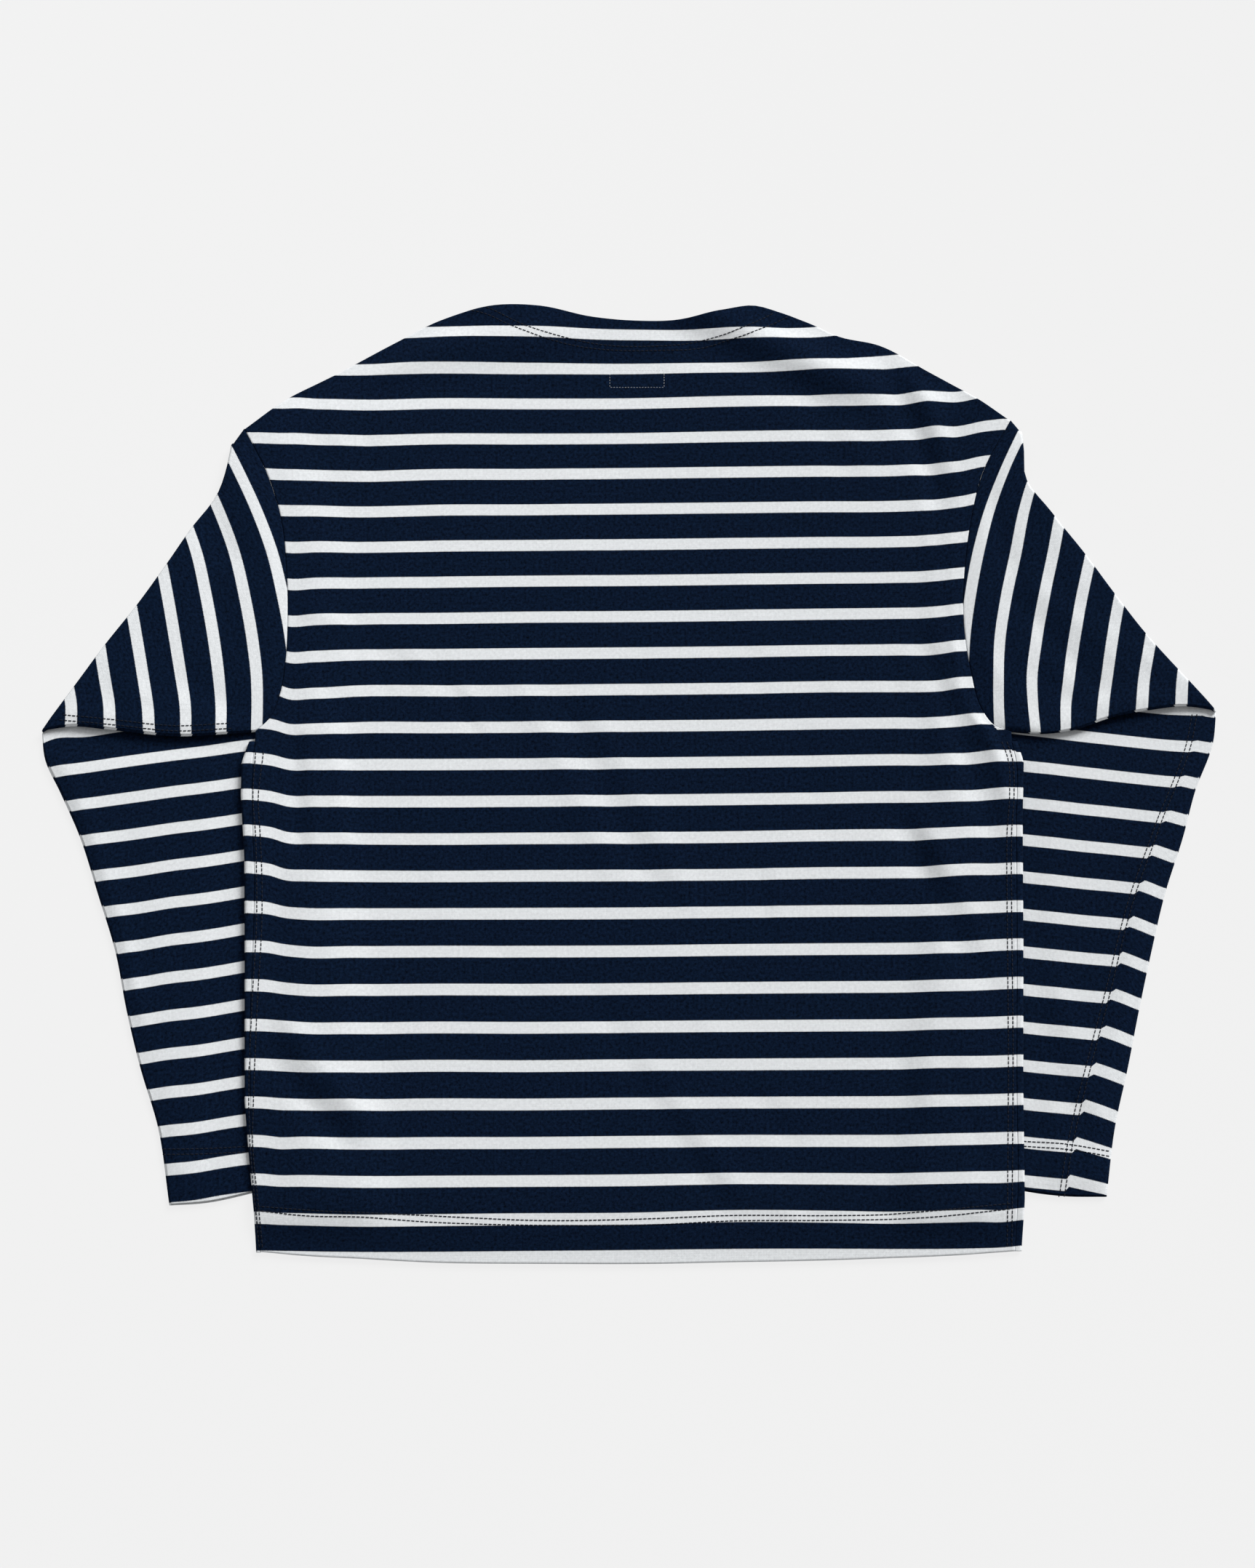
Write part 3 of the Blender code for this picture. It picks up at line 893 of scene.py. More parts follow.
def forearm_stripes(side, across, up):
    """Cloth place on a forearm, with the step at the right arm's seam."""
    table = np.array(FOREARM_STRIPES[side], float)
    highest, sixth, twelfth = (
        np.interp(across, *evenly(table[:, [0, k]]).T) for k in (1, 2, 3)
    )
    if side == "right":
        seam = evenly([(mark.up, mark.across) for mark in FOREARM_SEAM])
        drop = evenly([(mark.up, mark.lower) for mark in FOREARM_SEAM])
        outside = across - np.interp(up, *seam.T)
        lower = np.interp(up, *drop.T)
        slant = SEAM_SLANT * np.clip(up / 100, 0.3, 1.0)
        up = up - np.where(outside > 0, lower - slant * outside * lower / SEAM_DROP, 0.0)
    upper = (highest - up) / (highest - sixth) * 5
    lower = 5 + (sixth - up) / (sixth - twelfth) * 6
    return across, np.where(up > sixth, upper, lower) * PITCH


# Cloth pieces


def placed(point):
    """Table millimetres to metres about the centre of the whole garment."""
    return ((point[0] - OFF_CENTRE) * MM, (point[1] - LENGTH / 2) * MM, point[2] * MM)


def rounded(distance, radius):
    """How far a surface has dropped at this distance from a rounded rim."""
    inward = np.clip(1 - distance / radius, 0.0, 1.0)
    return radius * (1 - np.sqrt(1 - inward * inward * 0.96))


def cloth_object(name, bm, material):
    bmesh.ops.recalc_face_normals(bm, faces=bm.faces)
    mesh = bpy.data.meshes.new(name)
    bm.to_mesh(mesh)
    bm.free()
    mesh.shade_smooth()
    mesh.materials.append(material)
    piece = bpy.data.objects.new(name, mesh)
    bpy.context.scene.collection.objects.link(piece)
    return piece


def wall(name, outer, inner, places, cells, material):
    """A closed wall between two grids of points, with each point's place among the
    stripes. A cell with no cloth is left out and its border is closed."""
    bm = bmesh.new()
    uv = bm.loops.layers.uv.new("cloth")
    corners = np.zeros(outer.shape[:2], bool)
    for r, c in zip(*np.nonzero(cells)):
        corners[r : r + 2, c : c + 2] = True
    skins = []
    for grid in (outer, inner):
        skin = {}
        for r, c in zip(*np.nonzero(corners)):
            skin[r, c] = bm.verts.new(placed(grid[r, c]))
        skins.append(skin)
    outside, inside = skins

    def add_face(verts, keys):
        face = bm.faces.new(verts)
        for loop, key in zip(face.loops, keys):
            loop[uv].uv = places[key] * MM

    edges = {}
    for r, c in zip(*np.nonzero(cells)):
        loop = [(r, c), (r, c + 1), (r + 1, c + 1), (r + 1, c)]
        add_face([outside[key] for key in loop], loop)
        add_face([inside[key] for key in reversed(loop)], loop[::-1])
        for a, b in zip(loop, loop[1:] + loop[:1]):
            key = tuple(sorted([a, b]))
            edges[key] = edges.get(key, 0) + 1
    for (a, b), uses in edges.items():
        if uses == 1:
            add_face([outside[a], outside[b], inside[b], inside[a]], [a, b, b, a])
    return cloth_object(name, bm, material)


def rim_distance(points):
    """Distance from the nearest rim of a panel."""
    across = points[..., 0]
    up = points[..., 1]
    return np.minimum.reduce(
        [across - across[:, :1], across[:, -1:] - across, up - up[:1], up[-1:] - up]
    )


def hem_turning(across, up):
    """The doubled cloth below the hem stitching lies a little higher."""
    row = np.interp(across, *evenly(HEM_ROWS[0]).T)
    return 0.45 * soft_step((row - up) / 3.0 + 0.5)


def neck_turning(across, up):
    row = np.interp(across, *evenly(NECK_ROWS[0]).T)
    return 0.35 * soft_step((up - row) / 3.0 + 0.5) * (np.abs(across) < 135)


def make_back(material):
    points = body_points()
    across = points[..., 0]
    up = points[..., 1]
    height = back_height(points)
    distance = rim_distance(points)
    top = height + CLOTH / 2 - rounded(distance, BACK_RIM)
    top = top + hem_turning(across, up) + neck_turning(across, up)
    outer = np.concatenate([points, top[..., None]], axis=2)
    inner = np.concatenate([points, (height - CLOTH / 2)[..., None]], axis=2)
    places = np.stack(body_stripes(across, up), axis=2)
    cells = np.ones((points.shape[0] - 1, points.shape[1] - 1), bool)
    return wall("back_cloth", outer, inner, places, cells, material)


def side_wrap(points, height, edge_column, fold_marks, sign, rows):
    """Columns that carry the front panel round a side fold and on to the seam."""
    fold_table = np.array(fold_marks, float)
    seam = points[:rows, edge_column]
    low = height[:rows, edge_column]
    fold = np.interp(seam[:, 1], fold_table[:, 1], fold_table[:, 0])
    plump = plumpness(seam[:, 1])[0 if sign < 0 else 1]
    radius = SIDE_RADIUS + plump / 2
    centre = fold - sign * (radius + CLOTH / 2)
    places = []
    facings = []
    for angle in SIDE_FOLD_ANGLES:
        turn = math.radians(angle)
        x = centre + sign * radius * math.sin(turn)
        z = low + radius * (1 - math.cos(turn))
        places.append(np.stack([x, seam[:, 1], z], axis=1))
        facings.append((sign * math.sin(turn), 0.0, -math.cos(turn)))
    start = places[-1]
    end = start.copy()
    end[:, 0] = seam[:, 0] + sign * SEAM_SPACE
    end[:, 2] = low + BACK_OVER_FRONT + plump
    for share in (0.4, 0.75, 0.9, 1.0):
        places.append(start * (1 - share) + end * share)
        facings.append((0.0, 0.0, 1.0))
    places[-1] = places[-1] - np.array([0.0, 0.0, 0.35])
    return places, facings


def make_front(material):
    points = body_points()
    neck = soft_step((NECK_HALF_WIDTH - np.abs(points[-1, :, 0])) / 40)
    points[-1, :, 1] -= NECK_DROP * neck
    height = front_height(points)
    main = np.concatenate([points, height[..., None]], axis=2)
    rows = len(side_shares())
    left, left_facing = side_wrap(points, height, 0, SIDE_FOLD_LEFT, -1, rows)
    right, right_facing = side_wrap(points, height, -1, SIDE_FOLD_RIGHT, 1, rows)
    extra = len(left)
    columns = points.shape[1]
    width = columns + 2 * extra
    middle = np.zeros((len(points), width, 3))
    facing = np.zeros((len(points), width, 3))
    middle[:, extra : extra + columns] = main
    facing[:, extra : extra + columns] = (0.0, 0.0, -1.0)
    for k in range(extra):
        middle[:rows, extra - 1 - k] = left[k]
        facing[:rows, extra - 1 - k] = left_facing[k]
        middle[:rows, extra + columns + k] = right[k]
        facing[:rows, extra + columns + k] = right_facing[k]
    cells = np.zeros((len(points) - 1, width - 1), bool)
    cells[:, extra : extra + columns - 1] = True
    cells[: rows - 1] = True
    outer = middle + facing * CLOTH / 2
    inner = middle - facing * CLOTH / 2
    places = np.stack(body_stripes(middle[..., 0], middle[..., 1]), axis=2)
    return wall("front_cloth", outer, inner, places, cells, material)


def lattice(start, end, first, last, across_shares, steps):
    """Lines across a sheet between a start line and an end line, whose ends follow
    the first and last edge."""
    u = across_shares[None, :, None]
    v = steps[:, None, None]
    along = (1 - v) * start[None] + v * end[None]
    sides = (1 - u) * first[:, None] + u * last[:, None]
    corners = (1 - v) * ((1 - u) * start[0] + u * start[-1])
    corners = corners + v * ((1 - u) * end[0] + u * end[-1])
    return along + sides - corners


def sleeve_lines(side):
    """The sleeve's middle surface as lines from the shoulder or top edge to the
    underarm seam, one for each step from armhole to cuff."""
    shares = with_rim_shares(armhole_shares(SLEEVE_SHARES), ARMHOLE_LENGTH)
    armhole = smooth_line(ARMHOLE_LEFT if side == "left" else ARMHOLE_RIGHT, shares)[::-1]
    across_shares = 1 - shares[::-1]
    fold = smooth_line(SLEEVE_FOLD[side], across_shares)
    sign = -1 if side == "left" else 1
    fold_depth = (FOLD_RADIUS + TUBE_HALF) * FOLD_SHARPNESS
    fold_in = inset(fold, fold_depth, (sign * 250.0, 350.0))
    outwards = unit(fold - fold_in)
    cuff = smooth_line(CUFF_EDGE[side], across_shares)
    upper = np.linspace(0.0, 1.0, UPPER_ARM_STEPS + 1)
    upper = with_rim_shares(upper, UPPER_ARM_LENGTH, at_end=False)
    seam = smooth_line(UNDERARM_SEAM[side], upper)
    seam[-1] = fold_in[-1]
    tip = armhole[0] + (fold_in[0] - armhole[0]) * upper[:, None]
    arm = lattice(armhole, fold_in, tip, seam, across_shares, upper)
    lower = np.linspace(0.0, 1.0, FOREARM_STEPS + 1) ** 1.25
    lower = with_rim_shares(lower, FOREARM_LENGTH, at_start=False)
    outer = smooth_line(FOREARM_OUTER[side], lower)
    outer[0] = fold_in[-1]
    inner = smooth_line(FOREARM_INNER[side], lower)
    inner[0] = fold_in[0]
    forearm = lattice(fold_in, cuff, inner, outer, across_shares, lower)
    return arm, fold_in, outwards, forearm


def edge_fade(line, reach):
    """Zero at both ends of a line and one further in than reach."""
    run = np.linalg.norm(np.diff(line, axis=0), axis=1)
    run = np.concatenate([[0.0], np.cumsum(run)])
    return soft_step(run / reach) * soft_step((run[-1] - run) / reach)


def underarm_share(line):
    """One at the underarm end of a line, and zero further than the turned edge."""
    run = np.linalg.norm(np.diff(line, axis=0), axis=1)
    run = np.concatenate([[0.0], np.cumsum(run)])
    return soft_step(1 - (run[-1] - run) / UNDERARM_EDGE)


def tube_ring(line, height, out, half, near_bulge, far_bulge, upper_set_back):
    """One closed ring round the flattened tube, rounded at its two edges."""
    level = np.ones((len(line), 1)) * np.reshape(height, (-1, 1))
    middle = np.concatenate([line, level], axis=1)
    direction = unit(np.gradient(line, axis=0))
    sideways = np.concatenate([direction, np.zeros((len(line), 1))], axis=1)
    first = middle[0] + sideways[0] * TUBE_HALF
    last = middle[-1] - sideways[-1] * TUBE_HALF
    middle[0] = first
    middle[-1] = last
    inside_first = np.linalg.norm(line - line[0], axis=1) < TUBE_HALF
    inside_last = np.linalg.norm(line - line[-1], axis=1) < TUBE_HALF
    middle[inside_first] = first
    middle[inside_last] = last
    near = middle + out * (half + near_bulge)[:, None]
    far = middle - out * (half + far_bulge)[:, None] + upper_set_back
    start = []
    end = []
    for angle in RIM_ANGLES:
        turn = math.radians(angle)
        lift = math.sin(turn) * half
        reach = math.cos(turn) * half
        end.append(last + sideways[-1] * reach + out[-1] * lift)
        start.append(first - sideways[0] * reach - out[0] * lift)
    return np.concatenate([near, end, far[::-1], start])


def ring_places(line, value):
    """Places among the stripes for the points of one ring."""
    along, cross = value
    flat = np.stack([along, cross], axis=1)
    turned = len(RIM_ANGLES)
    end = np.repeat(flat[-1:], turned, 0)
    start = np.repeat(flat[:1], turned, 0)
    return np.concatenate([flat, end, flat[::-1], start])


def make_sleeve(side, material):
    """A flattened tube, open at the armhole and the cuff."""
    arm, fold_in, outwards, forearm = sleeve_lines(side)
    count = len(fold_in)
    body_side = 1 if side == "left" else -1
    flat_up = np.tile((0.0, 0.0, 1.0), (count, 1))
    none = np.zeros(count)
    still = np.zeros(3)
    rings = []
    fold_along, fold_cross = upper_arm_stripes(side, fold_in[:, 0], fold_in[:, 1])
    for k, line in enumerate(arm):
        start = np.linalg.norm(line - arm[0], axis=1)
        gone = np.linalg.norm(line - arm[-1], axis=1)
        fade = edge_fade(line, SLEEVE_LOFT_EDGE) * soft_step(start / 14)
        bulge = SLEEVE_LOFT + folds_at(UPPER_ARM_CREASES[side], line[:, 0], line[:, 1])
        bulge = np.maximum(bulge, -0.2) * fade
        bulge = bulge - rounded(start, SLEEVE_RIM)
        place = upper_arm_stripes(side, line[:, 0], line[:, 1])
        lift = UNDERARM_LIFT * underarm_share(line) * soft_step(start / 30) * soft_step(gone / 40)
        rings.append((line, LIFT + TUBE_HALF + lift, flat_up, bulge, none, still, place))
    for angle in ELBOW_FOLD_ANGLES:
        turn = math.radians(angle)
        reach = math.cos(turn) * FOLD_SHARPNESS
        line = fold_in + outwards * FOLD_RADIUS * reach
        height = FOLD_RADIUS + TUBE_HALF + FOLD_RADIUS * math.sin(turn)
        out = np.concatenate([outwards * reach, np.full((count, 1), math.sin(turn))], axis=1)
        near = bulge * max(math.sin(turn), 0.0)
        past = FOLD_RADIUS * (math.pi / 2 - turn)
        rings.append((line, height, out, near, none, still, (fold_along, fold_cross + past * FOLD_CLOTH)))
    past = FOLD_RADIUS * math.pi * FOLD_CLOTH
    own = forearm_stripes(side, fold_in[:, 0], fold_in[:, 1])
    missing = fold_cross + past - own[1]
    missing = missing - PITCH * np.round(missing[-1] / PITCH)
    for k, line in enumerate(forearm):
        gone = np.linalg.norm(line - forearm[0], axis=1)
        left = np.linalg.norm(line - forearm[-1], axis=1)
        outside = -body_side * line[:, 0] - BODY_COVER
        clear = soft_step(outside / 20) * soft_step((400 - line[:, 1]) / 20)
        fade = edge_fade(line, SLEEVE_LOFT_EDGE) * clear * soft_step(left / 14)
        bulge = SLEEVE_LOFT + folds_at(FOREARM_CREASES[side], line[:, 0], line[:, 1])
        bulge = np.maximum(bulge, -0.2) * fade
        row = np.interp(line[:, 0], *evenly(CUFF_ROWS[side][1]).T)
        bulge = bulge + 0.4 * soft_step((row - line[:, 1]) / 3 + 0.5) * edge_fade(line, 4.0)
        bulge = bulge - rounded(left, SLEEVE_RIM)
        along, cross = forearm_stripes(side, line[:, 0], line[:, 1])
        cross = cross + missing * (1 - soft_step(gone / ELBOW_BLEND))
        last = k == len(forearm) - 1
        back = unit(forearm[-2][-1] - forearm[-1][-1]) * CUFF_STEP if last else (0.0, 0.0)
        rings.append((line, TUBE_HALF, -flat_up, none, bulge, np.append(back, 0.0), (along, cross)))
    return tube("sleeve_" + side + "_cloth", rings, material)


def tube(name, rings, material):
    """A closed wall through the rings, open inside from the first to the last."""
    bm = bmesh.new()
    uv = bm.loops.layers.uv.new("cloth")
    skins = []
    for half in (TUBE_HALF, TUBE_HALF - CLOTH):
        skin = []
        for line, height, out, near, far, back, place in rings:
            near_bulge = near if half == TUBE_HALF else np.maximum(near, -0.1)
            far_bulge = far if half == TUBE_HALF else np.maximum(far, -0.1)
            points = tube_ring(line, height, out, half, near_bulge, far_bulge, back)
            verts = [bm.verts.new(placed(point)) for point in points]
            skin.append((verts, ring_places(line, place) * MM))
        skins.append(skin)

    def join(one, other):
        verts, places = one
        next_verts, next_places = other
        for k in range(len(verts)):
            m = (k + 1) % len(verts)
            face = bm.faces.new([verts[k], verts[m], next_verts[m], next_verts[k]])
            at = (places[k], places[m], next_places[m], next_places[k])
            for loop, place in zip(face.loops, at):
                loop[uv].uv = place

    for skin in skins:
        for ring, following in zip(skin, skin[1:]):
            join(ring, following)
    outside, inside = skins
    join(outside[0], inside[0])
    join(outside[-1], inside[-1])
    return cloth_object(name, bm, material)


# Stitching


def forearm_seam_rows():
    """Two rows just inside the seam along the right forearm."""
    rows = []
    for off in (1.2, 5.0):
        rows.append([Mark(mark.across - off, mark.up) for mark in FOREARM_SEAM[1:]])
    return rows


class Seat:
    """Finds where a point seen from above lands on a piece of cloth."""

    def __init__(self, piece):
        mesh = piece.data
        corners = [v.co for v in mesh.vertices]
        self.tree = BVHTree.FromPolygons(corners, [p.vertices for p in mesh.polygons])

    def under(self, mark, from_above=True):
        x, y, _ = placed((mark[0], mark[1], 0.0))
        start = Vector((x, y, 0.05 if from_above else -0.05))
        way = Vector((0.0, 0.0, -1.0 if from_above else 1.0))
        return self.tree.ray_cast(start, way)[:2]


def stitched(name, rows, seats, material, thread=SEAM_THREAD, from_above=True):
    """Rows of short stitches lying on the cloth, as one piece of thread."""
    bm = bmesh.new()
    for row in rows:
        steps = np.linalg.norm(np.diff(np.array(row, float), axis=0), axis=1)
        count = max(1, int(steps.sum() / (thread.length + thread.gap)))
        shares = (np.arange(count) + 0.5) / count
        middles = smooth_line(row, shares)
        ahead = smooth_line(row, np.clip(shares + 0.5 / count, 0, 1))
        for middle, towards in zip(middles, ahead):
            found = None
            for seat in seats:
                spot, normal = seat.under(middle, from_above)
                if spot is not None and (found is None or spot.z > found[0].z):
                    found = (spot, normal)
            if found is None:
                continue
            spot, normal = found
            if (normal.z < 0) == from_above:
                normal = -normal
            along = Vector((towards[0] - middle[0], towards[1] - middle[1], 0.0))
            along = (along - normal * along.dot(normal)).normalized()
            add_stitch(bm, spot + normal * thread.radius * 0.35 * MM, along, normal, thread)
    mesh = bpy.data.meshes.new(name)
    bm.to_mesh(mesh)
    bm.free()
    mesh.shade_smooth()
    mesh.materials.append(material)
    row_object = bpy.data.objects.new(name, mesh)
    bpy.context.scene.collection.objects.link(row_object)
    return row_object


def add_stitch(bm, spot, along, normal, thread):
    """One stitch: a thin six-sided thread that dips into the cloth at both ends."""
    side = along.cross(normal)
    rings = []
    for share, drop, size in STITCH_FORM:
        centre = spot + (along * thread.length * share - normal * thread.radius * drop) * MM
        radius = thread.radius * MM * size
        ring = []
        for k in range(6):
            turn = k * math.pi / 3
            out = side * math.cos(turn) + normal * math.sin(turn)
            ring.append(bm.verts.new(centre + out * radius))
        rings.append(ring)
    for ring, following in zip(rings, rings[1:]):
        for k in range(6):
            m = (k + 1) % 6
            bm.faces.new([ring[k], ring[m], following[m], following[k]])
    bm.faces.new(rings[0][::-1])
    bm.faces.new(rings[-1])


# Materials


def new_group(name, inputs, outputs):
    group = bpy.data.node_groups.new(name, "ShaderNodeTree")
    for socket_name, kind, value in inputs:
        socket = group.interface.new_socket(socket_name, in_out="INPUT", socket_type=kind)
        if value is not None:
            socket.default_value = value
    for socket_name, kind in outputs:
        group.interface.new_socket(socket_name, in_out="OUTPUT", socket_type=kind)
    return group


class Nodes:
    """Short ways to add and join nodes in one tree."""

    def __init__(self, tree):
        self.tree = tree

    def add(self, kind, **inputs):
        node = self.tree.nodes.new(kind)
        for name, value in inputs.items():
            self.put(node.inputs[name.replace("_", " ")], value)
        return node

    def put(self, socket, value):
        if isinstance(value, bpy.types.NodeSocket):
            self.tree.links.new(value, socket)
        else:
            socket.default_value = value

    def math(self, operation, *values):
        node = self.tree.nodes.new("ShaderNodeMath")
        node.operation = operation
        for socket, value in zip(node.inputs, values):
            self.put(socket, value)
        return node.outputs[0]

    def mix(self, share, first, second):
        node = self.tree.nodes.new("ShaderNodeMix")
        node.data_type = "RGBA"
        self.put(node.inputs["Factor"], share)
        self.put(node.inputs["A"], first)
        self.put(node.inputs["B"], second)
        return node.outputs["Result"]


def knit_group():
    """Navy knit with white stripes, from a place on the cloth in metres: its colour,
    with painted shade in the grooves between its loops, and the height of its loops."""
    group = new_group(
        "striped_knit",
        [
            ("Place", "NodeSocketVector", None),
            ("Wale Width", "NodeSocketFloat", 1.25),
            ("Course Height", "NodeSocketFloat", 0.95),
            ("Stripe Pitch", "NodeSocketFloat", PITCH),
            ("Stripe Width", "NodeSocketFloat", WHITE_WIDTH),
            ("Ground", "NodeSocketColor", NAVY),
            ("Stripe", "NodeSocketColor", WHITE),
        ],
        [("Color", "NodeSocketColor"), ("Height", "NodeSocketFloat")],
    )
    n = Nodes(group)
    entry = group.nodes.new("NodeGroupInput").outputs
    leave = group.nodes.new("NodeGroupOutput").inputs
    split = n.add("ShaderNodeSeparateXYZ", Vector=entry["Place"])
    along = n.math("MULTIPLY", split.outputs["X"], 1000.0)
    cross = n.math("MULTIPLY", split.outputs["Y"], 1000.0)
    wale = n.math("FRACT", n.math("DIVIDE", along, entry["Wale Width"]))
    off = n.math("ABSOLUTE", n.math("SUBTRACT", wale, 0.5))
    slant = n.math("ADD", n.math("DIVIDE", cross, entry["Course Height"]), n.math("MULTIPLY", off, 1.3))
    wave = n.math("SINE", n.math("MULTIPLY", slant, 2 * math.pi))
    loop = n.math("MULTIPLY_ADD", wave, 0.5, 0.5)
    groove = n.math("SUBTRACT", 1.0, n.math("POWER", n.math("MULTIPLY", off, 2.0), 4.0))
    height = n.math("MULTIPLY", loop, groove)
    n.put(leave["Height"], height)
    shift = n.math("MULTIPLY", n.math("SUBTRACT", off, 0.25), 0.6)
    turns = n.math("DIVIDE", n.math("ADD", cross, shift), entry["Stripe Pitch"])
    apart = n.math("ABSOLUTE", n.math("SUBTRACT", turns, n.math("ROUND", turns)))
    apart = n.math("MULTIPLY", apart, entry["Stripe Pitch"])
    inside = n.math("SUBTRACT", n.math("MULTIPLY", entry["Stripe Width"], 0.5), apart)
    white = n.math("MULTIPLY_ADD", inside, 2.0, 0.5)
    white = n.math("MINIMUM", n.math("MAXIMUM", white, 0.0), 1.0)
    mottle = n.add("ShaderNodeTexNoise", Vector=entry["Place"], Scale=430.0, Detail=3.0, Roughness=0.7)
    grain = n.math("SUBTRACT", mottle.outputs["Fac"], 0.5)
    spread = n.math("MULTIPLY_ADD", white, -3.0, 3.5)
    tone = n.math("MULTIPLY_ADD", grain, spread, 1.0)
    # Painted shade: the random grain tone is darkened where the loops are low, in the grooves of the knit
    tone = n.math("MULTIPLY", tone, n.math("MULTIPLY_ADD", height, 0.08, 0.95))
    bright = group.nodes.new("ShaderNodeVectorMath")
    bright.operation = "SCALE"
    n.put(bright.inputs[0], n.mix(white, entry["Ground"], entry["Stripe"]))
    n.put(bright.inputs["Scale"], tone)
    n.put(leave["Color"], bright.outputs["Vector"])
    return group


def knit_material(name, knit):
    """Matt knit with a faint nap, on the cloth's own places."""
    material = bpy.data.materials.new(name)
    material.use_nodes = True
    tree = material.node_tree
    n = Nodes(tree)
    shader = tree.nodes["Principled BSDF"]
    place = n.add("ShaderNodeUVMap")
    place.uv_map = "cloth"
    cloth = n.add("ShaderNodeGroup")
    cloth.node_tree = knit
    n.put(cloth.inputs["Place"], place.outputs["UV"])
    for setting, value in KNIT.items():
        cloth.inputs[setting].default_value = value
    n.put(shader.inputs["Base Color"], cloth.outputs["Color"])
    shader.inputs["Roughness"].default_value = 0.9
    shader.inputs["Specular IOR Level"].default_value = 0.02
    shader.inputs["Sheen Weight"].default_value = 0.008
    shader.inputs["Sheen Roughness"].default_value = 0.5
    shader.inputs["Sheen Tint"].default_value = (0.75, 0.85, 1.0, 1.0)
    bump = n.add("ShaderNodeBump", Height=cloth.outputs["Height"])
    bump.inputs["Strength"].default_value = 0.35
    bump.inputs["Distance"].default_value = 0.0003
    n.put(shader.inputs["Normal"], bump.outputs["Normal"])
    return material


def thread_group():
    """Cotton thread, a little uneven in tone."""
    group = new_group(
        "cotton_thread",
        [("Place", "NodeSocketVector", None), ("Thread", "NodeSocketColor", DARK_THREAD)],
        [("Color", "NodeSocketColor")],
    )
    n = Nodes(group)
    entry = group.nodes.new("NodeGroupInput").outputs
    leave = group.nodes.new("NodeGroupOutput").inputs
    noise = n.add("ShaderNodeTexNoise", Vector=entry["Place"], Scale=900.0, Detail=2.0)
    bright = group.nodes.new("ShaderNodeVectorMath")
    bright.operation = "SCALE"
    n.put(bright.inputs[0], entry["Thread"])
    n.put(bright.inputs["Scale"], n.math("MULTIPLY_ADD", noise.outputs["Fac"], 0.3, 0.95))
    n.put(leave["Color"], bright.outputs["Vector"])
    return group


def thread_material(name, colour, cotton):
    """Sewing thread with a soft shine."""
    material = bpy.data.materials.new(name)
    material.use_nodes = True
    tree = material.node_tree
    n = Nodes(tree)
    shader = tree.nodes["Principled BSDF"]
    place = n.add("ShaderNodeTexCoord")
    thread = n.add("ShaderNodeGroup")
    thread.node_tree = cotton
    n.put(thread.inputs["Place"], place.outputs["Object"])
    thread.inputs["Thread"].default_value = colour
    n.put(shader.inputs["Base Color"], thread.outputs["Color"])
    shader.inputs["Roughness"].default_value = 0.7
    shader.inputs["Specular IOR Level"].default_value = 0.15
    return material


def floor_material():
    material = bpy.data.materials.new("pale_table")
    material.use_nodes = True
    shader = material.node_tree.nodes["Principled BSDF"]
    shader.inputs["Base Color"].default_value = TABLE
    shader.inputs["Roughness"].default_value = 1.0
    shader.inputs["Specular IOR Level"].default_value = 0.0
    shader.inputs["Emission Color"].default_value = (1.0, 1.0, 1.0, 1.0)
    shader.inputs["Emission Strength"].default_value = TABLE_GLOW
    return material


# Table, light and camera


def make_floor():
    """A plain pale table, a hair below the cloth."""
    bm = bmesh.new()
    bmesh.ops.create_grid(bm, x_segments=1, y_segments=1, size=4.0)
    mesh = bpy.data.meshes.new("table_top")
    bm.to_mesh(mesh)
    bm.free()
    mesh.materials.append(floor_material())
    floor = bpy.data.objects.new("table_top", mesh)
    floor.location.z = -0.0004
    bpy.context.scene.collection.objects.link(floor)
    return floor


def make_light():
    """Even room light, with a broad one from the upper right and a faint panel."""
    world = bpy.data.worlds.new("soft_room")
    world.use_nodes = True
    background = world.node_tree.nodes["Background"]
    background.inputs["Color"].default_value = (1.0, 1.0, 1.0, 1.0)
    background.inputs["Strength"].default_value = 0.33
    bpy.context.scene.world = world
    lamp = bpy.data.lights.new("window_side", "SUN")
    lamp.energy = 4.17
    lamp.angle = math.radians(28)
    light = bpy.data.objects.new("window_side", lamp)
    shines = Vector((-0.6, -0.76, -0.62))
    light.rotation_euler = shines.to_track_quat("-Z", "Y").to_euler()
    bpy.context.scene.collection.objects.link(light)
    panel = bpy.data.lights.new("ceiling_panel", "AREA")
    panel.size = 1.0
    panel.energy = 3.2
    ceiling = bpy.data.objects.new("ceiling_panel", panel)
    ceiling.location = (-0.6, 0.75, 1.0)
    bpy.context.scene.collection.objects.link(ceiling)


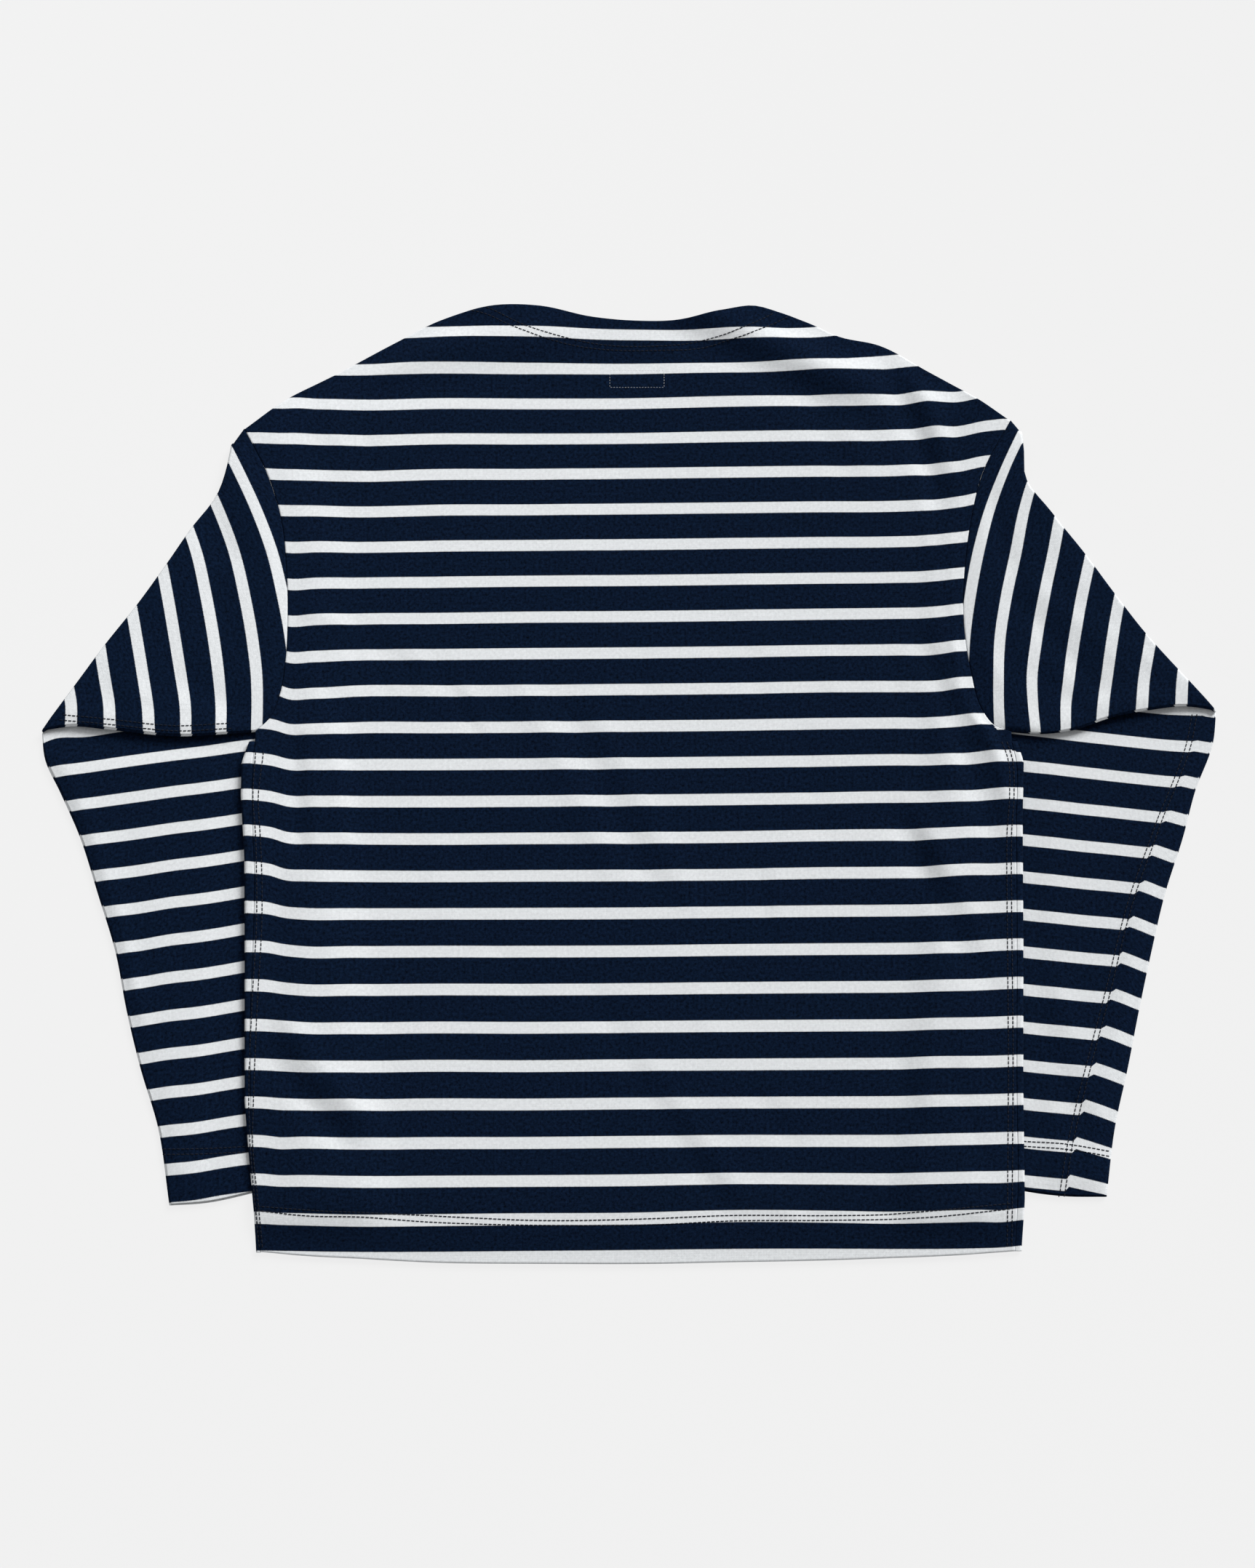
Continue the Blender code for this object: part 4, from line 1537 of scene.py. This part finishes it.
def make_camera():
    """Above the garment, tilted a little towards the hem."""
    tilt = math.radians(12)
    away = 2.4
    aim = Vector((-OFF_CENTRE * MM, (368 - LENGTH / 2) * MM, 0.0))
    lens = bpy.data.cameras.new("above")
    lens.lens = 71.25
    lens.sensor_width = 36.0
    camera = bpy.data.objects.new("above", lens)
    camera.location = aim + Vector((0.0, -math.sin(tilt), math.cos(tilt))) * away
    camera.rotation_euler = (tilt, 0.0, 0.0)
    bpy.context.scene.collection.objects.link(camera)
    bpy.context.scene.camera = camera


def main():
    scene = bpy.context.scene
    scene.view_settings.view_transform = "Standard"
    knit = knit_group()
    cloths = {
        "back": make_back(knit_material("back_knit", knit)),
        "front": make_front(knit_material("front_knit", knit)),
        "sleeve_left": make_sleeve("left", knit_material("left_sleeve_knit", knit)),
        "sleeve_right": make_sleeve("right", knit_material("right_sleeve_knit", knit)),
    }
    cotton = thread_group()
    dark = thread_material("dark_thread", DARK_THREAD, cotton)
    pale = thread_material("pale_thread", PALE_THREAD, cotton)
    back = Seat(cloths["back"])
    front = Seat(cloths["front"])
    left = Seat(cloths["sleeve_left"])
    right = Seat(cloths["sleeve_right"])
    threads = {
        "back": [
            stitched("neck_stitches", NECK_ROWS, [back], dark),
            stitched("hem_stitches", HEM_ROWS, [back], dark),
            stitched("side_seam_stitches", SIDE_SEAM_ROWS, [back, front], dark),
            stitched("label_stitches", LABEL_STITCHES, [back], pale, FINE_THREAD),
        ],
        "front": [
            stitched("front_hem_stitches", HEM_ROWS, [front], dark, from_above=False),
            stitched("front_neck_stitches", NECK_ROWS, [front], dark, from_above=False),
        ],
        "sleeve_left": [
            stitched("left_underarm_stitches", UNDERARM_ROWS["left"], [left], dark),
            stitched("left_cuff_stitches", CUFF_ROWS["left"], [left], dark),
        ],
        "sleeve_right": [
            stitched("right_cuff_stitches", CUFF_ROWS["right"], [right], dark),
            stitched("right_forearm_stitches", forearm_seam_rows(), [right], dark),
        ],
    }
    floor = make_floor()
    for node, cloth in cloths.items():
        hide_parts(node)
        for piece in [cloth] + threads[node]:
            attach(piece, "root")
    make_light()
    make_camera()
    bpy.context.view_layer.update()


main()
